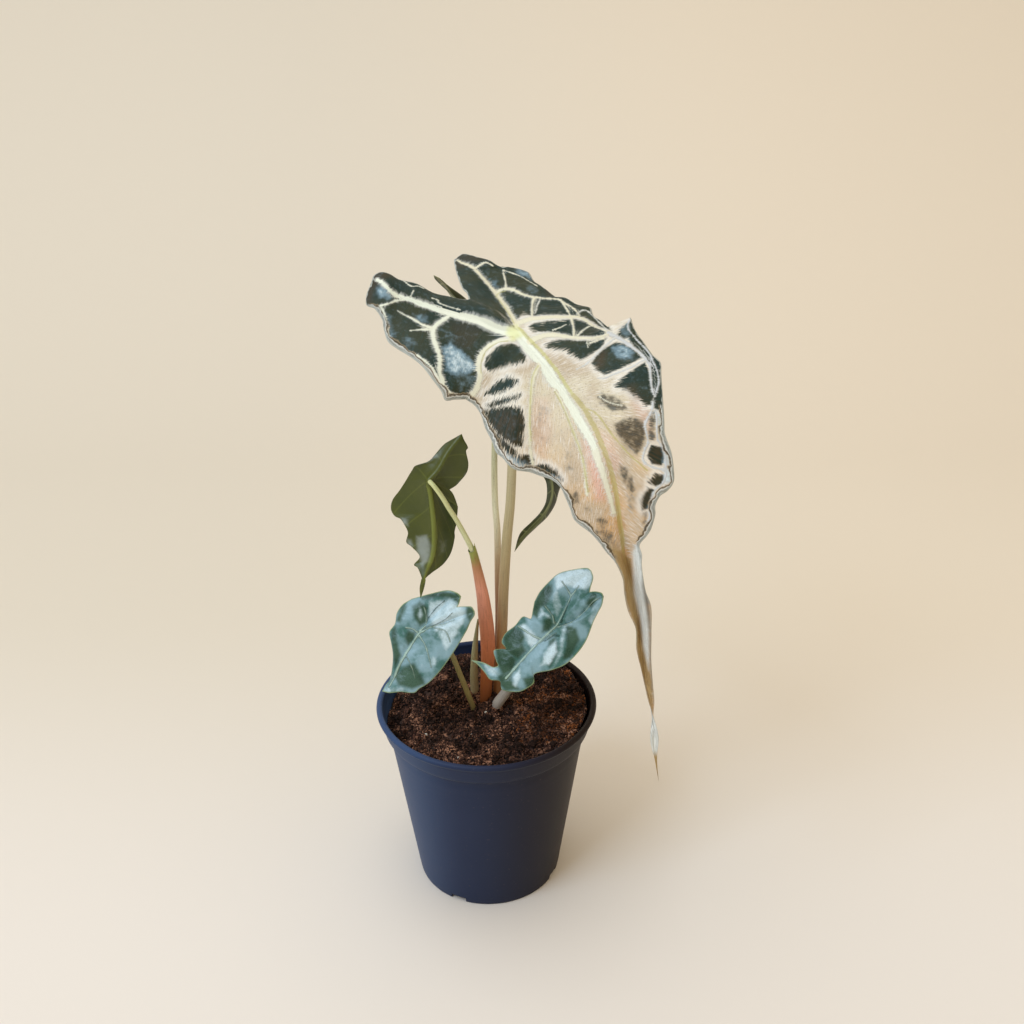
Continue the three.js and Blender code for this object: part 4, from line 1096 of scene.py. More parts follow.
main_soft_blotches = [
    (0.9, [(596, 395), (603, 392), (612, 395), (624, 403), (628, 410), (612, 411), (604, 407), (598, 401)]),
    (0.95, [(614, 425), (622, 420), (632, 417), (642, 420), (645, 428), (645, 436), (642, 446), (637, 455),
        (630, 447), (622, 440), (617, 433)]),
    (0.75, [(619, 463), (626, 468), (632, 476), (636, 490), (632, 496), (626, 488), (620, 476)]),
    (0.4, [(625, 490), (636, 492), (638, 505), (632, 520), (626, 510)]),
    (0.8, [(649, 412), (656, 411), (656, 425), (655, 440), (650, 443), (648, 430)]),
    (0.7, [(642, 512), (648, 511), (647, 522), (642, 527)]),
    (0.8, [(570, 497), (576, 491), (580, 496), (579, 503), (573, 504)]),
    (0.5, [(582, 503), (590, 507), (593, 515), (585, 512)]),
    (0.7, [(595, 517), (602, 515), (609, 522), (606, 531), (598, 526)]),
    (0.3, [(536, 402), (549, 404), (548, 424), (538, 428)]),
    (0.35, [(538, 436), (551, 434), (550, 444), (540, 446)]),
    (0.4, [(564, 450), (573, 452), (574, 470), (566, 472)]),
    (0.4, [(572, 420), (582, 422), (584, 432), (576, 430)]),
    (0.6, [(598, 525), (612, 530), (618, 545), (622, 565), (614, 560), (604, 545), (594, 532)]),
    (0.45, [(576, 397), (584, 400), (586, 408), (579, 405)]),
]
pink_flush = [
    (1.0, [(584, 440), (592, 436), (599, 455), (604, 475), (605, 500), (596, 500), (590, 475)]),
    (0.45, [(598, 430), (612, 436), (622, 462), (612, 480), (606, 460)]),
    (0.35, [(528, 396), (548, 398), (552, 430), (545, 460), (534, 452)]),
    (0.5, [(630, 380), (640, 392), (650, 412), (654, 440), (646, 430), (632, 404)]),
]
copper_flush = [
    (1.0, [(595, 360), (602, 349), (607, 352), (603, 366), (597, 369)]),
    (0.9, [(364, 304), (368, 284), (374, 272), (388, 268), (392, 276), (382, 280), (374, 290), (371, 304)]),
    (0.7, [(452, 262), (458, 252), (480, 252), (486, 260), (470, 263), (458, 270)]),
    (0.8, [(546, 291), (553, 290), (556, 296), (549, 297)]),
    (0.5, [(450, 322), (470, 320), (482, 330), (470, 350), (455, 345)]),
    (0.6, [(615, 425), (645, 420), (645, 450), (625, 450)]),
    (0.6, [(622, 386), (634, 384), (642, 398), (636, 402)]),
]
# Patches where pale blue reflections of the sky are painted, each a strength and an outline.
painted_sky_reflections = [
    (1.0, [(442, 348), (450, 343), (460, 350), (472, 360), (477, 368), (470, 374), (458, 376), (446, 370)]),
    (0.9, [(376, 288), (382, 285), (390, 292), (394, 299), (386, 299), (378, 296)]),
    (0.6, [(413, 314), (422, 314), (430, 321), (418, 322)]),
    (0.5, [(385, 315), (391, 316), (396, 335), (390, 336)]),
    (0.5, [(402, 338), (412, 338), (416, 344), (406, 347)]),
    (0.6, [(489, 279), (496, 280), (497, 287), (491, 286)]),
    (0.8, [(515, 267), (528, 270), (536, 280), (526, 278), (517, 274)]),
    (0.5, [(528, 286), (536, 287), (538, 293), (530, 292)]),
    (0.9, [(612, 347), (622, 344), (634, 352), (630, 359), (616, 358)]),
    (0.6, [(620, 330), (628, 320), (631, 330), (628, 342)]),
    (0.9, [(655, 412), (666, 412), (668, 440), (662, 440)]),
    (1.0, [(662, 440), (674, 440), (674, 480), (664, 486)]),
    (0.7, [(648, 505), (655, 500), (655, 540), (644, 545)]),
    (1.0, [(634, 545), (648, 535), (646, 570), (650, 605), (641, 600)]),
    (0.7, [(497, 449), (530, 464), (560, 478), (558, 487), (520, 474), (498, 458)]),
    (0.35, [(452, 365), (478, 376), (474, 392), (460, 392)]),
    (0.3, [(443, 330), (452, 328), (458, 340), (446, 342)]),
]
tail_gold = [
    (1, [(600, 545), (616, 556), (624, 593), (633, 620), (636, 647), (643, 683), (650, 708), (653, 712),
        (652, 683), (645, 647), (640, 620), (635, 593), (631, 560), (620, 550)]),
]
# Painted sheen: the silver on one side of the tail's crease.
tail_painted_sheen = [
    (1, [(632, 552), (644, 538), (642, 567), (647, 599), (649, 620), (650, 647), (649, 670), (643, 647),
        (640, 620), (634, 593)]),
]
tail_shade = [
    (1, [(643, 576), (649, 599), (651, 626), (653, 665), (652, 690), (650, 660), (649, 630), (646, 608),
        (642, 586)]),
    (0.7, [(612, 552), (620, 570), (625, 592), (630, 612), (627, 606), (620, 585), (613, 566)]),
]


def field(tree, name, output="Fac"):
    """What a blade keeps at its points under a name."""
    return add_node(tree, "ShaderNodeAttribute", attribute_name=name).outputs[output]


def wobble(tree, value, reach):
    """Noise turned to a push either way, half as far as its reach."""
    return times(tree, less(tree, value, 0.5), reach)


def paired(tree, x, y):
    """A place from two values, for noise drawn out along a leaf or a stalk."""
    return add_node(tree, "ShaderNodeCombineXYZ", {"X": x, "Y": y}).outputs["Vector"]


def drawn(tree, name, rough=0.0, hair=0.0, spread=1.0):
    """From 0 to 1, how much of a vein there is here, spread to so many times its width. Hairs
    stand square to it, because their noise is taken at the nearest point on the vein."""
    offset = field(tree, name + " offset", "Vector")
    away = add_node(tree, "ShaderNodeVectorMath", {0: offset}, operation="LENGTH").outputs["Value"]
    place = place_on_piece(tree)
    scaled = add_node(tree, "ShaderNodeVectorMath", {0: place, "Scale": 1000.0}, operation="SCALE")
    root = add_node(tree, "ShaderNodeVectorMath", {0: scaled.outputs["Vector"], 1: offset},
                    operation="SUBTRACT").outputs["Vector"]
    width = field(tree, name + " width")
    extra = times(tree, width, spread - 1.0)
    half = plus(tree, calc(tree, "MAXIMUM", width, 0.05), extra)
    hairs = wobble(tree, grain(tree, root, 3.4), hair)
    hairs = times(tree, hairs, calc(tree, "MINIMUM", plus(tree, width, 0.1), 1.0))
    beyond = less(tree, plus(tree, away, rough), plus(tree, half, hairs))
    gap = less(tree, field(tree, name + " gap"), plus(tree, extra, 0.45))
    gap = less(tree, gap, times(tree, width, hair * 0.2))
    return ranged(tree, calc(tree, "MAXIMUM", beyond, gap), -0.4, 0.35, 1.0, 0.0)


main_skin, tree, shader = new_material("main_blade_skin")
place = place_on_piece(tree)
fibre_place = paired(tree, times(tree, field(tree, "streak"), 3.3), times(tree, field(tree, "rib"), 0.19))
fibres = grain(tree, fibre_place, 1.0, 4.0)
wisp_place = add_node(tree, "ShaderNodeVectorMath", {0: fibre_place, 1: (0.35, 0.6, 1.0)},
                      operation="MULTIPLY").outputs["Vector"]
wisps = grain(tree, wisp_place, 1.0, 3.0)
from_rib = times(tree, field(tree, "rib"), field(tree, "side"))
along_place = paired(tree, times(tree, from_rib, 1.6), times(tree, field(tree, "streak"), 0.09))
lengthwise = grain(tree, along_place, 1.0, 4.0)
speckle = grain(tree, place, 1500.0)
blur = grain(tree, place, 420.0)
clouds = grain(tree, place, 60.0, 3.0)
height = add_node(tree, "ShaderNodeSeparateXYZ", {"Vector": place}).outputs["Z"]

flesh = blended(tree, ranged(tree, height, 0.245, 0.30), colour(206, 166, 116), colour(210, 202, 178))
flesh = blended(tree, ranged(tree, clouds, 0.4, 0.65, 0.0, 0.8), flesh, colour(186, 170, 146))
flesh = blended(tree, times(tree, field(tree, "pink"), 0.6), flesh, colour(216, 160, 152))
flesh = blended(tree, ranged(tree, speckle, 0.5, 0.72, 0.0, 0.5), flesh, colour(150, 130, 104))
flesh = blended(tree, ranged(tree, fibres, 0.48, 0.68, 0.0, 0.8), flesh, colour(234, 230, 224))
near_cell = times(tree, ranged(tree, field(tree, "cell"), -9.0, -1.5), 0.75)
flesh = blended(tree, times(tree, near_cell, ranged(tree, fibres, 0.3, 0.6, 0.35, 1.0)),
                flesh, colour(234, 234, 230))
ragged = less(tree, plus(tree, fibres, times(tree, blur, 0.7)), 0.85)
brown_depth = plus(tree, field(tree, "blotch"), times(tree, ragged, 2.0))
brown = times(tree, ranged(tree, brown_depth, 0.1, 1.1), ranged(tree, field(tree, "blotch"), 0, 0.5))
brown_colour = blended(tree, ranged(tree, wisps, 0.4, 0.6), colour(72, 62, 40), colour(36, 38, 26))
flesh = blended(tree, times(tree, brown, 0.9), flesh, brown_colour)

feather = wobble(tree, fibres, field(tree, "feather"))
feather = plus(tree, feather, wobble(tree, blur, 2.2))
cell = ranged(tree, plus(tree, field(tree, "cell"), feather), -1.1, 1.3)
green = blended(tree, ranged(tree, clouds, 0.4, 0.62), colour(22, 44, 38), colour(44, 52, 34))
green = blended(tree, ranged(tree, wisps, 0.5, 0.75, 0.0, 0.5), green, colour(24, 56, 52))
green = blended(tree, ranged(tree, speckle, 0.55, 0.8, 0.0, 0.45), green, colour(70, 96, 100))
green = blended(tree, ranged(tree, height, 0.302, 0.288), green,
                blended(tree, ranged(tree, wisps, 0.4, 0.65), colour(58, 52, 36), colour(34, 44, 34)))
surface = blended(tree, cell, flesh, green)
surface = blended(tree, times(tree, field(tree, "copper"), 0.55), surface, colour(74, 58, 38))

# Painted reflection: pale blue and white sky reflections mixed into the colour where the leaf shines.
painted_sheen = plus(tree, field(tree, "painted reflection"), wobble(tree, blur, 1.2))
silver = times(tree, ranged(tree, painted_sheen, 0.0, 1.3), ranged(tree, fibres, 0.3, 0.6, 0.6, 1.0))
painted_sheen_colour = blended(tree, ranged(tree, painted_sheen, 0.75, 1.3), colour(150, 184, 206), colour(214, 234, 242))
surface = blended(tree, times(tree, silver, 0.85), surface, painted_sheen_colour)

edge_noise = wobble(tree, blur, 0.9)
halo = drawn(tree, "vein", edge_noise, 7.0, 1.5)
surface = blended(tree, times(tree, halo, 0.5), surface, colour(216, 220, 216))
vein = drawn(tree, "vein", edge_noise, 2.4)
vein_colour = ramped(tree, field(tree, "vein tint"),
                     [(0, (234, 241, 228)), (0.45, (226, 222, 198)), (1, (200, 206, 216))])
vein_tone = blended(tree, ranged(tree, lengthwise, 0.45, 0.7, 0.0, 0.4), vein_colour, colour(176, 186, 160))
surface = blended(tree, times(tree, vein, 0.94), surface, vein_tone)
sap = drawn(tree, "sap", edge_noise, 0.8)
sap_colour = blended(tree, field(tree, "sap tint"), colour(196, 198, 120), colour(170, 154, 92))
surface = blended(tree, times(tree, sap, 0.65), surface, sap_colour)
surface = blended(tree, times(tree, field(tree, "junction"), 0.6), surface, colour(214, 220, 124))

gold = blended(tree, ranged(tree, lengthwise, 0.38, 0.62), colour(128, 98, 52), colour(188, 164, 112))
surface = blended(tree, times(tree, field(tree, "tail gold"), 0.9), surface, gold)
# Painted sheen: a silver reflection of the light on one side of the tail.
painted_sheen_lilac = blended(tree, ranged(tree, lengthwise, 0.36, 0.6), colour(158, 164, 160), colour(236, 244, 246))
surface = blended(tree, times(tree, field(tree, "tail painted sheen"), 0.9), surface, painted_sheen_lilac)
shade = times(tree, field(tree, "tail shade"), ranged(tree, lengthwise, 0.3, 0.6, 0.6, 0.95))
surface = blended(tree, shade, surface, colour(92, 78, 58))
tail_tip = ranged(tree, height, 0.108, 0.102)
surface = blended(tree, tail_tip, surface, colour(170, 130, 70))

rim = plus(tree, field(tree, "rim"), wobble(tree, blur, 1.8))
low_edge = ranged(tree, field(tree, "fold"), 0.2, 0.8)
uneven = grain(tree, place, 130.0)
rim_reach = ranged(tree, uneven, 0.35, 0.65, 2.8, 5.4)
rim_place = calc(tree, "DIVIDE", rim, rim_reach)
rim_line = ramped(tree, rim_place, [
    (0, (206, 212, 216)), (0.07, (204, 210, 214)), (0.13, (120, 122, 112)), (0.27, (150, 158, 158)),
    (0.34, (216, 218, 214)), (0.42, (84, 72, 50)), (0.52, (62, 52, 34)), (0.6, (168, 150, 120)),
    (1, (176, 160, 136))])
rim_share = times(tree, ranged(tree, rim_place, 0.75, 0.5), ranged(tree, fibres, 0.25, 0.6, 0.6, 1.0))
surface = blended(tree, times(tree, low_edge, rim_share), surface, rim_line)
thin_edge = times(tree, ranged(tree, rim, 0.85, 0.4), ranged(tree, height, 0.22, 0.25, 0.3, 0.9))
surface = blended(tree, thin_edge, surface, colour(172, 178, 174))

underside = blended(tree, ranged(tree, clouds, 0.35, 0.65), colour(104, 114, 66), colour(124, 128, 80))
underside = blended(tree, times(tree, vein, 0.7), underside, colour(172, 174, 128))
underside = blended(tree, times(tree, cell, 0.35), underside, colour(62, 74, 46))
# The same painted sheen on the lower underside, down to its gold end.
underside = blended(tree, ranged(tree, height, 0.158, 0.146), underside, painted_sheen_lilac)
underside = blended(tree, ranged(tree, height, 0.118, 0.112), underside, gold)
surface = blended(tree, ranged(tree, field(tree, "upper"), 0.6, 0.4), surface, underside)
gloss_here = less(tree, ranged(tree, speckle, 0.2, 0.8, 0.34, 0.5), times(tree, field(tree, "painted reflection"), 0.1))
relief = plus(tree, times(tree, fibres, 0.8), times(tree, vein, 0.8))
relief = plus(tree, relief, times(tree, wisps, 0.6))
surfaced(tree, shader, surface, gloss_here, 0.24, relief, 0.6, 0.0005)

main_spacing = 0.75
main_blade, main_upper, main_fields, main_faces = make_blade("main_blade", main_leaf, main_spacing,
                                                            main_skin)
main_tree = BVHTree.FromPolygons(main_upper.tolist(), main_faces.tolist())
main_seen = seen_at(main_upper)
vein_gap = draw_veins(main_blade, "vein", main_upper, main_tree, main_veins + midrib_veins)
draw_veins(main_blade, "sap", main_upper, main_tree, sap_lines)
cell_field = np.max([depth_inside(main_seen, outline) for outline in main_dark_cells], axis=0)
set_field(main_blade, "cell", cell_field)
set_field(main_blade, "feather", feathered(vein_gap, 2, 20))
folded_edge = [(376, 300), (392, 330), (424, 352), (446, 384), (476, 396), (490, 420), (516, 450),
               (558, 470), (572, 486), (600, 530), (612, 545), (616, 565), (590, 545), (556, 500),
               (500, 478), (478, 430), (440, 405), (380, 345), (366, 306)]
right_fold = [(652, 405), (668, 405), (680, 460), (676, 490), (658, 512), (656, 540), (640, 560),
              (636, 540), (646, 515), (648, 495), (664, 480), (662, 445)]
for name, outlines in (("tail gold", tail_gold), ("tail painted sheen", tail_painted_sheen),
                       ("tail shade", tail_shade)):
    set_field(main_blade, name, patches(main_seen, outlines, 2.5))
set_field(main_blade, "fold", patches(main_seen, [(1, folded_edge), (1, right_fold)], 4))
set_field(main_blade, "blotch", patches(main_seen, main_soft_blotches, 4))
set_field(main_blade, "pink", patches(main_seen, pink_flush, 6))
set_field(main_blade, "copper", patches(main_seen, copper_flush, 4))
set_field(main_blade, "painted reflection", patches(main_seen, painted_sky_reflections, 4))
junction_spot = [(508, 327), (517, 325), (523, 336), (512, 341), (506, 333)]
set_field(main_blade, "junction", patches(main_seen, [(0.85, junction_spot)], 3))
keep_ways(main_blade, main_upper, main_faces, main_fields)
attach(main_blade, "root")
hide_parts("main_leaf_blade")


# Low silver leaves. One hangs low on the left, and one with a wavy, toothed edge on the right.
# Both are thin and waxy, silvery blue-green above with pale veins and dark green cells, and pale
# blue reflections are painted in where they shine.
low_left_leaf = {
    "rise": (-0.3, -1.6, 1),
    "midrib": [
        (-34, -8, 160), (-38, -10, 154), (-42, -13, 148), (-45, -16, 142), (-49, -20, 135),
        (-54, -21, 131),
    ],
    "left_margin": [
        (0, -38, 1, 174), (0.5, -43, 0, 171), (1, -46, -2, 167), (1.5, -47, -4, 162),
        (2, -50, -6, 158), (2.5, -49, -9, 154), (3.2, -48, -12.5, 147), (3.8, -49.7, -15.2, 136),
        (4.5, -52.1, -18.5, 133.3), (5, -54, -21, 131),
    ],
    "right_margin": [
        (0, -9, -11, 162), (0.5, -13, -14, 156), (1, -18, -17, 149), (1.6, -23, -20, 143),
        (2.2, -29, -22, 137), (2.8, -34, -23, 134), (3.3, -37, -24, 132), (4, -44, -23, 132),
        (4.6, -50, -22.5, 131), (5, -54, -21, 131),
    ],
    "left_lobe": [(-34, -8, 160), (-25, -4, 168), (-18, -1, 174), (-12, -2, 177)],
    "left_lobe_outside": [
        (0, -38, 1, 174), (1, -28, 1, 177), (2, -19, 1, 179), (2.6, -14, -1, 178.5),
        (3, -12, -2, 177),
    ],
    "left_lobe_inside": [(0, -14, -5, 172.5), (1.5, -13, -4, 174), (3, -12, -2, 177)],
    "right_lobe": [(-34, -8, 160), (-25, -8, 163), (-17, -7, 166), (-5, -7, 171)],
    "right_lobe_outside": [
        (0, -9, -11, 162), (1.5, -7, -9, 166), (2.4, -5, -8, 169), (3, -5, -7, 171),
    ],
    "right_lobe_inside": [
        (0, -14, -5, 172.5), (1.5, -9.5, -5.5, 173), (2.4, -6.5, -6, 173), (3, -5, -7, 171),
    ],
}
right_leaf = {
    "rise": (-0.5, -1.6, 1.1),
    "midrib": [
        (37, -20, 169), (31, -21, 164), (26, -23, 160), (20, -25, 154), (14, -27, 148),
        (9, -28, 145), (3, -25, 146), (-2, -22, 148), (-7, -21, 150),
    ],
    "left_margin": [
        (0, 26, -10, 178), (0.2, 25, -13, 174), (0.4, 24, -15, 171), (0.7, 20, -13, 171),
        (1, 16, -15, 167), (1.4, 11, -16, 163), (1.8, 9, -18, 159), (2.4, 11, -21, 156.5),
        (2.8, 5, -19.5, 155), (3.2, 6, -23, 151), (3.6, 7, -25, 149.5), (4.3, 6, -25, 148.5),
        (5.2, 4, -24.3, 148), (6.2, 1, -23, 149), (7, -2.5, -21.5, 149.5), (8, -7, -21, 150),
    ],
    "right_margin": [
        (0, 56, -22, 174), (0.6, 51, -28, 164), (1.2, 43, -31, 155), (1.8, 35, -32, 151),
        (2.2, 26, -31, 148), (2.9, 25, -34, 144), (3.3, 20, -34, 140), (3.8, 16, -34, 139),
        (4.4, 9, -32, 139), (4.8, 8, -29, 142), (5.6, 3, -28, 142.5), (6.4, 0, -25, 145),
        (7.2, -3.5, -22.5, 148), (8, -7, -21, 150),
    ],
    "left_lobe": [(37, -20, 169), (42, -15, 178), (46, -11, 187), (55, -8, 195)],
    "left_lobe_outside": [
        (0, 26, -10, 178), (0.6, 29, -8, 183), (1.2, 34, -6, 188), (1.8, 39, -5, 192),
        (2.5, 48, -6, 195), (2.8, 53, -7, 196), (3, 55, -8, 195),
    ],
    "left_lobe_inside": [
        (0, 54, -14, 186), (1.5, 54.5, -13, 188), (2.5, 56, -9.5, 192), (3, 55, -8, 195),
    ],
    "right_lobe": [(37, -20, 169), (46, -20, 173), (52, -18, 178), (61, -17, 185)],
    "right_lobe_outside": [
        (0, 56, -22, 174), (1, 58, -21, 178), (2, 60, -19, 181), (3, 61, -17, 185),
    ],
    "right_lobe_inside": [
        (0, 54, -14, 186), (1.5, 57, -14.5, 186.5), (2.5, 60, -16, 186.5), (3, 61, -17, 185),
    ],
}


def dress_blade(blade, upper, fields, faces, veins, cells, painted_glosses):
    """Keeps a small blade's veins, dark cells and painted reflections at its points."""
    tree = BVHTree.FromPolygons(upper.tolist(), faces.tolist())
    seen = seen_at(upper)
    away = draw_veins(blade, "vein", upper, tree, veins)
    set_field(blade, "cell", np.max([depth_inside(seen, outline) for outline in cells], axis=0))
    set_field(blade, "feather", feathered(away, 1, 8))
    set_field(blade, "painted reflection", patches(seen, painted_glosses, 5))
    keep_ways(blade, upper, faces, fields)


def silver_skin():
    """The silvery blue-green skin of the two low leaves, with pale veins, dark green cells and painted
    reflections.
    """
    material, tree, shader = new_material("silver_blade_skin")
    place = place_on_piece(tree)
    speckle = grain(tree, place, 1500.0)
    blur = grain(tree, place, 300.0, 3.0)
    clouds = grain(tree, place, 90.0, 3.0)
    base = blended(tree, ranged(tree, clouds, 0.38, 0.62), colour(64, 108, 104), colour(128, 162, 174))
    base = blended(tree, ranged(tree, blur, 0.5, 0.7, 0.0, 0.4), base, colour(134, 166, 182))
    dark = plus(tree, field(tree, "cell"), wobble(tree, blur, 2.5))
    cell = ranged(tree, dark, -2.5, 2.5)
    green = blended(tree, ranged(tree, clouds, 0.4, 0.6), colour(30, 62, 44), colour(48, 80, 58))
    base = blended(tree, times(tree, cell, 0.92), base, green)
    # Painted reflection: pale blue sky reflections mixed into the colour where the leaf shines.
    painted_sheen = plus(tree, field(tree, "painted reflection"), wobble(tree, blur, 0.7))
    silver = times(tree, ranged(tree, painted_sheen, 0.3, 1.0), ranged(tree, speckle, 0.2, 0.6, 0.75, 1.0))
    base = blended(tree, times(tree, silver, 0.95), base, colour(202, 226, 238))
    vein = drawn(tree, "vein", wobble(tree, blur, 1.0), 0.6)
    vein_colour = blended(tree, field(tree, "vein tint"), colour(172, 200, 186), colour(38, 60, 50))
    base = blended(tree, times(tree, vein, 0.68), base, vein_colour)
    edge = ranged(tree, field(tree, "rim"), 0.75, 0.4)
    base = blended(tree, times(tree, edge, 0.6), base, colour(150, 170, 118))
    below = blended(tree, ranged(tree, clouds, 0.4, 0.6), colour(92, 112, 76), colour(112, 128, 92))
    below = blended(tree, times(tree, vein, 0.6), below, colour(150, 164, 120))
    base = blended(tree, ranged(tree, field(tree, "upper"), 0.6, 0.4), base, below)
    relief = plus(tree, times(tree, blur, 0.5), times(tree, vein, 0.8))
    surfaced(tree, shader, base, ranged(tree, speckle, 0.2, 0.8, 0.22, 0.36), 0.3, relief, 0.9, 0.001)
    return material


silver = silver_skin()
low_left_veins = [
    (2.5, 3.5, 0.0, [(418, 634), (410, 647), (402, 660), (397, 670)]),
    (3.5, 1.5, 0.1, [(397, 670), (394, 678), (389, 687)]),
    (2.2, 1, 0.0, [(418, 634), (430, 627.5), (444, 624), (454, 620)]),
    (2, 1, 0.0, [(420, 631), (426, 624), (426, 614), (424, 607)]),
    (1.2, 1, 0.9, [(428, 618), (436, 608), (444, 601)]),
    (1.2, 0.8, 0.8, [(432, 626), (444, 620), (452, 613)]),
    (2, 1, 0.1, [(417, 632), (412, 628.6), (406, 627.5)]),
    (2, 1, 0.0, [(419, 635), (425, 645), (428.4, 656), (431, 667)]),
    (1.2, 0.8, 0.2, [(434, 628), (444, 630), (448, 636), (450, 642)]),
    (1.2, 0.8, 0.2, [(406, 655), (412, 668), (415, 678)]),
]
# The first of these outlines, a narrow strip along the left edge, is painted shade rather than a dark cell.
low_left_cells = [
    [(391, 629), (396, 626), (397, 641), (401, 656), (395, 668), (392, 651)],
    [(403, 667), (414, 663), (420, 672), (425, 684), (412, 689), (398, 685), (394, 676)],
    [(408, 630), (415, 633), (414, 640), (408, 646), (405, 638)],
    [(421, 596), (445, 591), (462, 596), (464, 603), (450, 598), (436, 597), (422, 600)],
    [(455, 591), (463, 594), (466, 603), (460, 606), (453, 600)],
    [(467, 605), (476, 610), (470, 622), (466, 616)],
    [(396, 621), (401, 606), (407, 601), (405, 612), (400, 622)],
    [(412, 606), (420, 601), (428, 608), (427, 622), (420, 626), (414, 618)],
]
low_left_painted_reflections = [
    (0.8, [(419, 606), (422, 609), (423, 615), (421, 621), (418, 619), (417, 612)]),
    (0.8, [(440, 628), (444, 631), (444, 637), (441, 641), (438, 636), (437, 631)]),
    (0.8, [(433, 655), (437, 659), (437, 665), (433, 669), (430, 664), (430, 658)]),
    (0.9, [(455, 608), (459, 611), (458, 616), (455, 618), (452, 614), (452, 610)]),
    (0.8, [(428, 600), (450, 598), (466, 606), (466, 620), (455, 640), (446, 655), (440, 640), (432, 628),
        (428, 615)]),
    (0.6, [(382, 686), (408, 686), (408, 694), (382, 695)]),
    (0.45, [(400, 635), (408, 650), (402, 658), (398, 645)]),
    (0.4, [(417, 655), (424, 655), (426, 668), (419, 670)]),
]
right_veins = [
    (2.4, 3, 0.0, [(555, 627), (546, 635), (532, 649), (518, 664.5), (506, 678)]),
    (2.4, 1.8, 0.1, [(556, 626), (558, 623), (566, 607), (571, 596)]),
    (2.2, 1, 0.3, [(571, 596), (567, 589), (562, 581.5)]),
    (2.2, 1, 0.0, [(571, 596), (575, 591), (578.5, 586)]),
    (1.4, 1.2, 1.0, [(561, 622), (566, 610), (570, 600)]),
    (2.2, 1, 0.0, [(558, 627), (573, 621), (586, 610), (594, 601), (604, 596)]),
    (2, 1.2, 0.3, [(554, 623), (552, 615), (545, 606)]),
    (2, 1.5, 0.1, [(541, 639), (532, 635), (518, 626)]),
    (1.5, 1, 0.4, [(539, 643), (548, 637), (556, 633)]),
    (1.2, 0.8, 0.9, [(545, 641), (553, 636), (559, 636)]),
]
right_cells = [
    [(503, 637), (514, 627), (522, 630), (525, 636), (523, 644), (525, 651), (518, 659), (510, 655),
        (504, 650)],
    [(552, 585), (553, 590), (547, 605), (541, 608), (537, 618), (532, 615), (534, 602), (541, 591),
        (547, 585)],
    [(544, 620), (551, 616), (553, 624), (549, 631), (542, 632)],
    [(495, 647), (506, 650), (516, 659), (513, 671), (503, 676), (497, 664)],
    [(498, 676), (512, 668), (512, 680), (520, 690), (506, 691), (500, 686)],
    [(522, 678), (536, 676), (540, 687), (528, 690)],
    [(549, 640), (556, 637), (554, 646), (548, 648)],
    [(592, 592), (598, 594), (592, 608), (586, 604)],
    [(556, 640), (558, 652), (550, 668), (544, 660), (552, 650)],
    [(566, 625), (576, 628), (580, 640), (570, 658), (562, 660), (566, 645)],
]
right_painted_reflections = [
    (1.0, [(553, 575), (575, 566), (594, 570), (592, 586), (584, 590), (566, 586), (556, 590)]),
    (0.9, [(541, 608), (547, 612), (553, 620), (544, 616), (538, 618)]),
    (0.9, [(517, 626), (524, 622), (534, 632), (541, 640), (532, 650), (526, 642), (524, 632)]),
    (1.0, [(545, 651), (556, 640), (558, 652), (550, 666), (540, 666)]),
    (0.7, [(554, 587), (560, 592), (562, 612), (556, 620), (552, 604)]),
    (0.7, [(560, 628), (568, 624), (566, 640), (564, 654), (556, 668), (548, 674), (558, 650)]),
    (0.9, [(514, 672), (520, 668), (522, 678), (516, 688), (511, 686)]),
    (0.8, [(481, 662), (495, 668), (503, 676), (492, 678)]),
    (0.5, [(590, 606), (603, 598), (602, 612), (590, 640), (586, 630)]),
    (0.4, [(524, 617), (531, 612), (536, 624), (528, 626)]),
]
for name, node, leaf, spacing, veins, cells, painted_glosses in (
    ("low_left_blade", "low_left_leaf_blade", low_left_leaf, 0.6, low_left_veins, low_left_cells,
     low_left_painted_reflections),
    ("right_blade", "right_leaf_blade", right_leaf, 0.6, right_veins, right_cells, right_painted_reflections),
):
    made, upper, fields, faces = make_blade(name, leaf, spacing, silver)
    dress_blade(made, upper, fields, faces, veins, cells, painted_glosses)
    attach(made, "root")
    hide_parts(node)


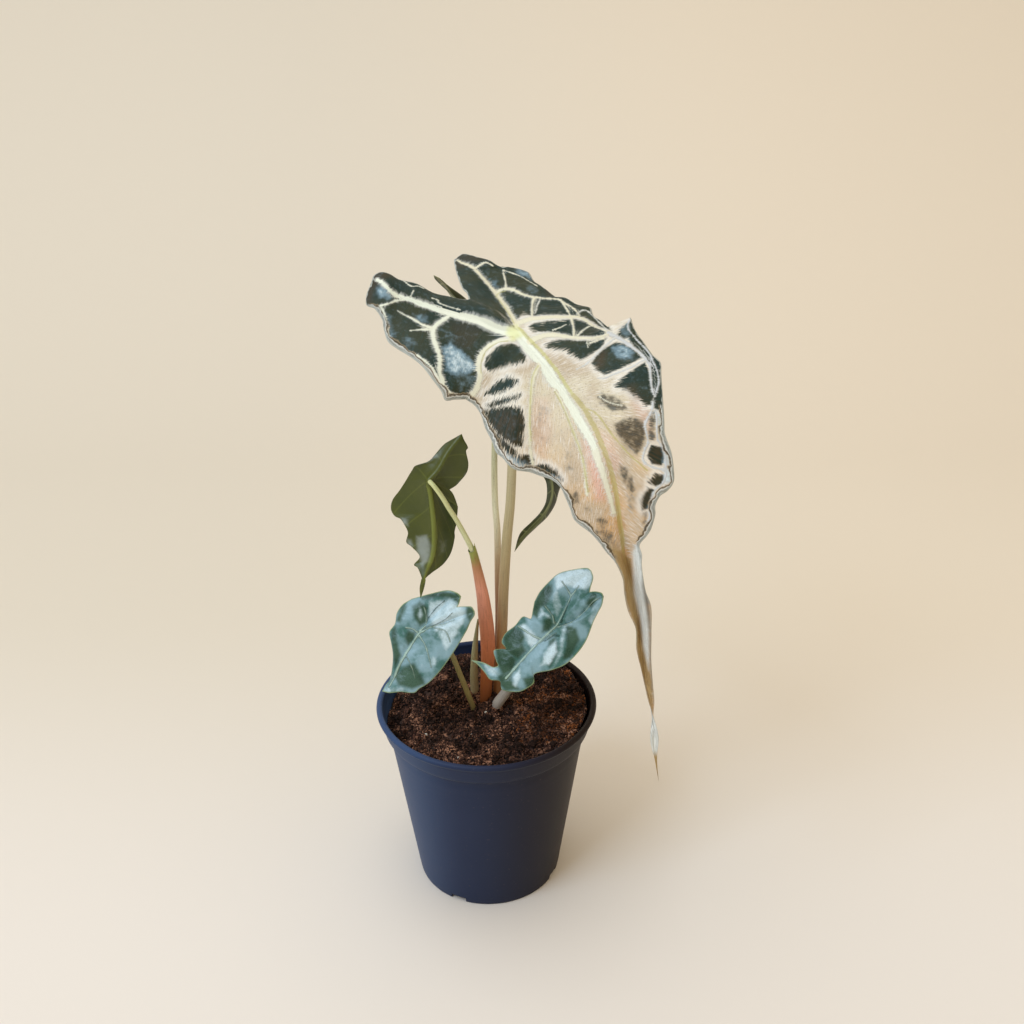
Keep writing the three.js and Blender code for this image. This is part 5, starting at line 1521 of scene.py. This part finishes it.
# Left leaf and rear leaf. The left one has turned over, so its matt olive underside and its
# raised ribs show. The rear one is dark green above, and stands mostly behind the main leaf.
rear_leaf = {
    "rise": (-0.6, -1.4, 1),
    "midrib": [
        (8, 48, 282), (15, 43, 273), (23, 36, 261), (30, 31, 246), (36, 28, 228), (36, 28, 218),
        (32, 29, 208), (27, 31, 200), (21, 33, 193), (16, 35, 183),
    ],
    "left_margin": [
        (0, -3, 32, 297), (0.6, 3, 30, 276), (1.5, 12, 26, 258), (2.6, 22, 25, 242),
        (3.4, 30, 26, 234), (4, 33, 27, 228), (5, 33, 27, 218), (6, 30, 29, 210), (7, 25, 31, 203),
        (8, 19, 33, 195), (9, 16, 35, 183),
    ],
    "right_margin": [
        (0, 58, 62, 297), (0.6, 64, 56, 283), (1.3, 65, 48, 266), (2, 60, 40, 250),
        (2.8, 52, 34, 237), (3.5, 43, 31, 229), (4.2, 40, 31, 222), (5, 38, 31, 214),
        (6, 34, 32, 206), (7, 28, 33, 199), (8, 22, 34, 192), (9, 16, 35, 183),
    ],
    "left_lobe": [
        (8, 48, 282), (1, 46, 295), (-6, 45, 310), (-14, 45, 323), (-19, 46, 330), (-23, 46, 334),
    ],
    "left_lobe_outside": [
        (0, -3, 32, 297), (1.4, -8, 30, 316), (3, -11, 30, 326), (4, -16, 36, 329),
        (4.7, -22, 42, 333), (5, -23, 46, 334),
    ],
    "left_lobe_inside": [
        (0, 10, 58, 301), (1.2, 0, 54, 312), (3, -9, 50, 322), (4, -16, 48, 328),
        (4.7, -20, 47, 332), (5, -23, 46, 334),
    ],
    "right_lobe": [(8, 48, 282), (17, 54, 289), (28, 60, 298), (38, 66, 304), (47, 70, 309)],
    "right_lobe_outside": [
        (0, 58, 62, 297), (2, 55, 64, 302), (3.3, 51, 67, 307), (4, 47, 70, 309),
    ],
    "right_lobe_inside": [
        (0, 10, 58, 301), (1.2, 20, 64, 305), (2.6, 33, 70, 309), (3.5, 42, 73, 312),
        (4, 47, 70, 309),
    ],
}
left_leaf = {
    "rise": (0, 1.5, 0.6),
    "midrib": [
        (-27, 8, 239), (-26, 7, 230), (-25, 5, 220), (-25, 3, 209), (-26, 1, 199), (-29, -1, 193),
        (-31, -3, 188), (-32, -4, 183), (-33, -4, 177),
    ],
    "left_margin": [
        (0, -14, 12, 212), (0.8, -15, 11, 208), (1.6, -15, 10, 205), (2.6, -17, 7, 198),
        (3.6, -21, 4, 193), (4.7, -27, 0, 190), (5.6, -30, -3, 188.5), (6, -30, -3, 187.5),
        (7, -31, -4, 183), (8, -33, -4, 177),
    ],
    "right_margin": [
        (0, -40, 17, 234), (0.4, -43, 18, 229), (0.9, -47, 19, 223), (1.4, -48, 18, 218),
        (1.8, -46, 16, 215), (2.1, -43, 13, 215), (2.4, -41, 11, 213), (2.8, -39, 9, 209),
        (3.2, -40, 8, 204), (3.6, -37, 6, 202), (4.1, -33, 3, 198), (4.5, -36, 2, 194),
        (5, -34, 0, 193), (5.6, -32, -3, 189), (6, -32.2, -3.3, 188), (7, -33.2, -4.3, 183),
        (8, -33, -4, 177),
    ],
    "left_lobe": [(-27, 8, 239), (-23, 10, 233), (-18, 12, 226), (-13, 14, 221)],
    "left_lobe_outside": [(0, -14, 12, 212), (1.5, -13.5, 13, 216), (3, -13, 14, 221)],
    "left_lobe_inside": [
        (0, -17, 14, 231), (1, -15.5, 14, 229), (2, -14.3, 14, 226), (3, -13, 14, 221),
    ],
    "right_lobe": [(-27, 8, 239), (-22, 10, 244), (-17, 13, 252), (-10, 16, 261)],
    "right_lobe_outside": [
        (0, -40, 17, 234), (0.5, -36, 16, 241), (0.9, -34, 15, 244), (1.3, -29, 14, 246),
        (1.6, -26, 14, 248), (2, -22, 16, 252), (2.4, -19, 17, 255), (2.7, -16, 17, 257),
        (3, -10, 16, 261),
    ],
    "right_lobe_inside": [
        (0, -17, 14, 231), (0.6, -14, 14, 233), (1, -12, 14, 235), (1.6, -8, 15, 240),
        (2, -7, 15, 245), (2.4, -8, 15, 252), (2.6, -7, 15, 254), (2.85, -9, 16, 258),
        (3, -10, 16, 261),
    ],
}
side_rib_pitch = 15.0
side_rib_half_width = 0.5


def side_ribs(tree):
    """From 0 to 1, the side ribs that leave the mid-line every so many millimetres."""
    slanted = less(tree, field(tree, "streak"), times(tree, field(tree, "rib"), 0.7))
    away = calc(tree, "PINGPONG", slanted, side_rib_pitch / 2)
    lines = ranged(tree, away, side_rib_half_width * 0.4, side_rib_half_width * 1.6, 1.0, 0.0)
    middle = ranged(tree, field(tree, "rib"), side_rib_half_width, side_rib_half_width * 3, 1.0, 0.0)
    return calc(tree, "MAXIMUM", lines, middle)


def plain_skin(name, above, below, rib_colour, dark, painted_gloss_colour, rib_share):
    """Skin of one green above and another below, with ribs and patches of painted reflection."""
    material, tree, shader = new_material(name)
    place = place_on_piece(tree)
    clouds = grain(tree, place, 70.0, 3.0)
    blur = grain(tree, place, 350.0, 3.0)
    base = blended(tree, ranged(tree, field(tree, "upper"), 0.6, 0.4), above, below)
    base = blended(tree, ranged(tree, clouds, 0.35, 0.7, 0.0, 0.5), base, dark)
    base = blended(tree, times(tree, ranged(tree, field(tree, "cell"), -3, 3), 0.75), base, dark)
    vein = drawn(tree, "vein", wobble(tree, blur, 0.5))
    base = blended(tree, times(tree, vein, 0.6), base, rib_colour)
    ribs = times(tree, side_ribs(tree), rib_share)
    base = blended(tree, ribs, base, rib_colour)
    # Painted reflection: a pale colour mixed in where the leaf shines.
    painted_sheen = plus(tree, field(tree, "painted reflection"), wobble(tree, blur, 0.5))
    base = blended(tree, ranged(tree, painted_sheen, 0.2, 1.0, 0.0, 0.7), base, painted_gloss_colour)
    relief = plus(tree, times(tree, blur, 0.5), times(tree, vein, 0.7))
    surfaced(tree, shader, base, ranged(tree, blur, 0.3, 0.7, 0.34, 0.46), 0.5, relief, 0.4, 0.0005)
    return material


left_veins = [
    (3, 5, 0, [(428, 484), (431, 495), (432, 510), (434, 525), (435, 535)]),
    (5, 2, 0, [(435, 535), (434, 548), (431, 560), (426, 574), (424, 582)]),
]
left_cells = [
    [(437, 496), (446, 492), (458, 518), (459, 540), (452, 560), (440, 572), (444, 545), (440, 520)],
]
left_painted_reflections = [
    (0.9, [(417, 536), (428, 534), (432, 545), (430, 562), (422, 566), (416, 552)]),
    (0.9, [(424, 461), (437, 454), (438, 457), (427, 463)]),
    (0.8, [(457, 484), (466, 472), (467, 477), (459, 487)]),
    (1.0, [(401, 518), (408, 520), (409, 526), (403, 525)]),
    (1.0, [(407, 538), (412, 540), (413, 547), (408, 545)]),
    (0.5, [(438, 540), (448, 538), (446, 552), (438, 556)]),
]
rear_veins = [(2, 1, 0, [(552, 480), (552, 495), (546, 510), (536, 522), (526, 532), (519, 540)])]
rear_cells = [[(554, 480), (562, 480), (556, 505), (545, 520), (552, 500)]]
rear_painted_reflections = [(0.8, [(546, 480), (552, 480), (550, 500), (540, 516), (530, 524), (528, 520), (545, 500)])]
olive_skin_blade = plain_skin("olive_underside_skin", colour(44, 66, 44), colour(66, 74, 10),
                              colour(120, 130, 48), colour(42, 56, 8), colour(150, 160, 158), 0.18)
dark_skin_blade = plain_skin("dark_blade_skin", colour(52, 60, 26), colour(92, 100, 44),
                             colour(150, 160, 110), colour(30, 38, 12), colour(96, 108, 90), 0.4)
for name, node, slot, leaf, spacing, skin, veins, cells, painted_glosses in (
    ("left_blade", "left_leaf_blade", "olive_underside", left_leaf, 0.6, olive_skin_blade, left_veins,
     left_cells, left_painted_reflections),
    ("rear_blade", "rear_leaf_blade", "dark_blade", rear_leaf, 0.9, dark_skin_blade, rear_veins,
     rear_cells, rear_painted_reflections),
):
    made, upper, fields, faces = make_blade(name, leaf, spacing, skin)
    dress_blade(made, upper, fields, faces, veins, cells, painted_glosses)
    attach(made, "root")
    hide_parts(node)


# Stalks. Each is a fleshy round stem that rises from the rhizome through the mix and thins
# towards its blade. A young shoot comes up behind the sheath.
def stalk_tree():
    """A node tree that sweeps a circle along a stalk's path, thinning by its radius attribute."""
    tree, into = open_tree("stalk_along_path", {
        "Path": "Geometry", "Around": "Int", "Start": "Float", "End": "Float", "Rows": "Int",
        "Skin": "Material"}, "Stalk")
    line = add_node(tree, "GeometryNodeMeshToCurve", {"Mesh": into["Path"]})
    smooth = add_node(tree, "GeometryNodeCurveSplineType", {"Curve": line.outputs["Curve"]},
                      spline_type="CATMULL_ROM")
    fine = add_node(tree, "GeometryNodeSetSplineResolution",
                    {"Geometry": smooth.outputs["Curve"], "Resolution": 12})
    trim = add_node(tree, "GeometryNodeTrimCurve",
                    {"Curve": fine.outputs["Geometry"], "Start": into["Start"], "End": into["End"]})
    rows = add_node(tree, "GeometryNodeResampleCurve",
                    {"Curve": trim.outputs["Curve"], "Count": into["Rows"]})
    radius = add_node(tree, "GeometryNodeInputNamedAttribute", {"Name": "stalk radius"},
                      data_type="FLOAT")
    thick = add_node(tree, "GeometryNodeSetCurveRadius",
                     {"Curve": rows.outputs["Curve"], "Radius": radius.outputs["Attribute"]})
    share = tree.nodes.new("GeometryNodeSplineParameter")
    kept = add_node(tree, "GeometryNodeStoreNamedAttribute",
                    {"Geometry": thick.outputs["Curve"], "Name": "up the stalk",
                     "Value": share.outputs["Factor"]}, data_type="FLOAT", domain="POINT")
    ring = add_node(tree, "GeometryNodeCurvePrimitiveCircle",
                    {"Resolution": into["Around"], "Radius": 1.0})
    turn = tree.nodes.new("GeometryNodeSplineParameter")
    round_kept = add_node(tree, "GeometryNodeStoreNamedAttribute",
                          {"Geometry": ring.outputs["Curve"], "Name": "round the stalk",
                           "Value": turn.outputs["Factor"]}, data_type="FLOAT", domain="POINT")
    swept = add_node(tree, "GeometryNodeCurveToMesh",
                     {"Curve": kept.outputs["Geometry"],
                      "Profile Curve": round_kept.outputs["Geometry"],
                      "Scale": radius.outputs["Attribute"], "Fill Caps": True})
    smooth_faces = add_node(tree, "GeometryNodeSetShadeSmooth", {"Geometry": swept.outputs["Mesh"]})
    close_tree(tree, smooth_faces.outputs["Geometry"], into["Skin"], "Stalk")
    return tree


sweep_stalk = stalk_tree()
stalk_end = 0.996
stalk_sides = 20
stalk_rows = 70


def make_stalk(name, path, radii, material, start, end, around):
    """A stalk along a path, with radii spread evenly over the path from foot to blade."""
    base = mesh_object(name + "_path", path, [])
    base.data.edges.add(len(path) - 1)
    for k, edge in enumerate(base.data.edges):
        edge.vertices = (k, k + 1)
    steps = [0.0]
    for a, b in zip(path, path[1:]):
        steps.append(steps[-1] + math.dist(a, b))
    shares = [step / steps[-1] for step in steps]
    spread = np.linspace(start, end, len(radii))
    sizes = np.interp(shares, spread, radii) / 1000
    base.data.attributes.new("stalk radius", "FLOAT", "POINT").data.foreach_set("value", sizes)
    return run_tree(name, base, sweep_stalk,
                    {"Around": around, "Start": start, "End": end, "Rows": stalk_rows,
                     "Skin": material})


stalk_foot = 93
main_path = [
    (4.5, 11.5, stalk_foot), (6, 13, 101), (7, 14, 117), (8, 14, 133), (9, 14, 149), (10, 13, 172),
    (12, 11, 203), (14, 10, 224), (15, 8, 244), (16, 5, 273), (17, 2, 300), (18, 0, 319),
]
rear_path = [
    (4, 18, stalk_foot), (5, 20, 101), (6, 21, 122), (7, 22, 148), (7, 23, 172), (7, 25, 200),
    (6, 27, 218), (6, 31, 242), (7, 38, 265), (8, 48, 282),
]
left_path = [
    (-1.5, 8, stalk_foot), (-1, 9, 102), (0, 9, 117), (1, 9, 133), (1, 9, 146), (0, 9, 159),
    (-1, 8, 171), (-3, 8, 184), (-5, 7, 196), (-7, 6, 203), (-13, 5, 217), (-17, 4, 225),
    (-20, 4, 231), (-24, 5, 237), (-27, 8, 239),
]
low_left_path = [
    (-5.5, 2, stalk_foot), (-7, 1, 103), (-10, 0, 114), (-14, 0, 127), (-18, -1, 140),
    (-23, -3, 149), (-29, -5, 155), (-34, -8, 160),
]
right_path = [
    (4, 4, stalk_foot), (5, 2, 104), (10, 0, 114), (15, -4, 125), (21, -8, 137), (29, -13, 152),
    (34, -17, 163), (37, -20, 169),
]
shoot_path = [(-6, 15, stalk_foot), (-7, 16, 107), (-7, 16, 119), (-6, 16, 135), (-4, 16, 152)]


def stalk_skin(name, shades, flecks, roughness):
    """Fibrous skin that changes colour up the stalk, with fine lengthwise streaks. Each shade
    is a share of the way up and a colour."""
    material, tree, shader = new_material(name)
    up = field(tree, "up the stalk")
    lengthwise = paired(tree, times(tree, field(tree, "round the stalk"), 30.0), times(tree, up, 12.0))
    streaks = grain(tree, lengthwise, 1.0, 4.0)
    fleck = colour(*flecks)
    skin = blended(tree, ranged(tree, streaks, 0.45, 0.75, 0.0, 0.5), ramped(tree, up, shades), fleck)
    dots = grain(tree, place_on_piece(tree), 1300.0)
    skin = blended(tree, ranged(tree, dots, 0.55, 0.75, 0.0, 0.3), skin, fleck)
    surfaced(tree, shader, skin, roughness, 0.5, streaks, 0.3, 0.0003)
    return material


main_stalk_skin = stalk_skin("tan_stalk_skin", [
    (0, (130, 78, 40)), (0.18, (176, 128, 82)), (0.32, (174, 150, 110)), (0.5, (178, 164, 124)),
    (0.72, (200, 192, 156)), (1, (214, 212, 178))], (124, 112, 84), 0.5)
rear_stalk_skin = stalk_skin("reddish_stalk_skin", [
    (0, (120, 76, 44)), (0.34, (158, 116, 88)), (0.48, (190, 168, 134)), (0.62, (228, 226, 196)),
    (1, (180, 186, 140))], (150, 134, 104), 0.5)
pale_skin = stalk_skin("pale_stalk_skin", [
    (0, (150, 140, 110)), (0.3, (196, 194, 160)), (0.7, (212, 214, 170)), (1, (204, 208, 150))],
    (140, 146, 96), 0.42)
shoot_skin = stalk_skin("shoot_skin", [
    (0, (96, 78, 52)), (0.25, (176, 166, 136)), (0.7, (172, 174, 138)), (1, (140, 140, 96))],
    (140, 136, 104), 0.45)
olive_skin = stalk_skin("olive_stalk_skin", [
    (0, (74, 50, 26)), (0.3, (150, 138, 90)), (1, (152, 150, 108))], (92, 84, 48), 0.48)
grey_skin = stalk_skin("grey_stalk_skin", [
    (0, (110, 96, 84)), (0.2, (182, 176, 168)), (0.5, (176, 172, 164)), (1, (150, 164, 140))],
    (140, 132, 124), 0.48)

stalks = [
    ("main_stalk", "main_leaf_stalk", "tan_stalk", main_path,
     [2.9, 3.0, 3.0, 2.9, 2.8, 2.7, 2.5, 2.4, 2.3, 2.2, 2.2, 1.9], main_stalk_skin),
    ("rear_stalk", "rear_leaf_stalk", "tan_stalk", rear_path, [1.9, 1.9, 1.8, 1.6, 1.5], rear_stalk_skin),
    ("left_stalk", "left_leaf_stalk", "pale_stalk", left_path,
     [1.5, 1.5, 1.5, 1.5, 1.5, 1.3, 1.2], pale_skin),
    ("low_left_stalk", "low_left_leaf_stalk", "olive_stalk", low_left_path,
     [1.5, 1.5, 1.4, 1.2], olive_skin),
    ("right_stalk", "right_leaf_stalk", "grey_stalk", right_path,
     [2.6, 3, 2.4, 1.8, 1.5, 1.3], grey_skin),
    ("shoot", "young_shoot", "pale_stalk", shoot_path, [2.4, 2.3, 2.1, 1.5, 0.5], shoot_skin),
]
for name, node, slot, path, radii, skin in stalks:
    made = make_stalk(name, path, radii, skin, 0.0, stalk_end, stalk_sides)
    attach(made, "root")
    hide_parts(node)


# Sheath. The papery terracotta sleeve that the left stalk grew out of wraps its lower part as one
# thin piece. Its upper end is open, and runs up to a point on the right. The depth, the wall and
# the sizes after them are in metres.
sheath_start = 0.05
sheath_end = 0.7
sheath_sides = 28
sheath_radii = [3, 3.3, 3.7, 4, 3.9, 3.3, 2.6, 2.0]
sheath_depth = 0.006
sheath_wall = 0.0004
sheath_reach = 0.008
point_rise = 0.0046
rim_flare = 0.0002
sheath_skin = stalk_skin("papery_sheath", [
    (0, (116, 66, 30)), (0.2, (170, 98, 52)), (0.4, (210, 126, 86)), (0.75, (222, 152, 126)),
    (0.9, (176, 128, 88)), (0.96, (140, 146, 70)), (1, (150, 164, 82))], (148, 86, 60), 0.55)


def open_sleeve(sleeve):
    """Hollows the upper end round the stalk, and draws its rim up to a point on the right."""
    grid = bmesh.new()
    grid.from_mesh(sleeve.data)
    caps = [face for face in grid.faces if len(face.verts) > 4]
    cap = max(caps, key=lambda face: face.calc_center_median().z)
    middle, axis = cap.calc_center_median(), cap.normal.copy()
    bmesh.ops.inset_individual(grid, faces=[cap], thickness=sheath_wall)
    for vertex in cap.verts:
        vertex.co -= axis * sheath_depth
    sunk = set(cap.verts)
    for vertex in grid.verts:
        below = (middle - vertex.co).dot(axis)
        if vertex in sunk or below > sheath_reach:
            continue
        out = (vertex.co - middle - axis * -below).normalized()
        share = (1 - max(below, 0) / sheath_reach) ** 2
        right = max(out.x, 0) ** 3
        vertex.co += (axis * point_rise * right + out * rim_flare) * share
    grid.to_mesh(sleeve.data)
    grid.free()


made = make_stalk("left_sheath", left_path, sheath_radii, sheath_skin, sheath_start, sheath_end,
                  sheath_sides)
open_sleeve(made)
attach(made, "root")
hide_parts("left_leaf_sheath")


# Rhizome. The swollen stem lies under the mix, brown and scaly, with the stubs of its roots, and
# every stalk grows from it.
root_skin = peat_finish("rhizome_skin", colour(70, 46, 30), colour(134, 98, 64), 500.0)
rhizome = bpy.data.objects["rhizome"]
rhizome.data.materials.clear()
rhizome.data.materials.append(root_skin)
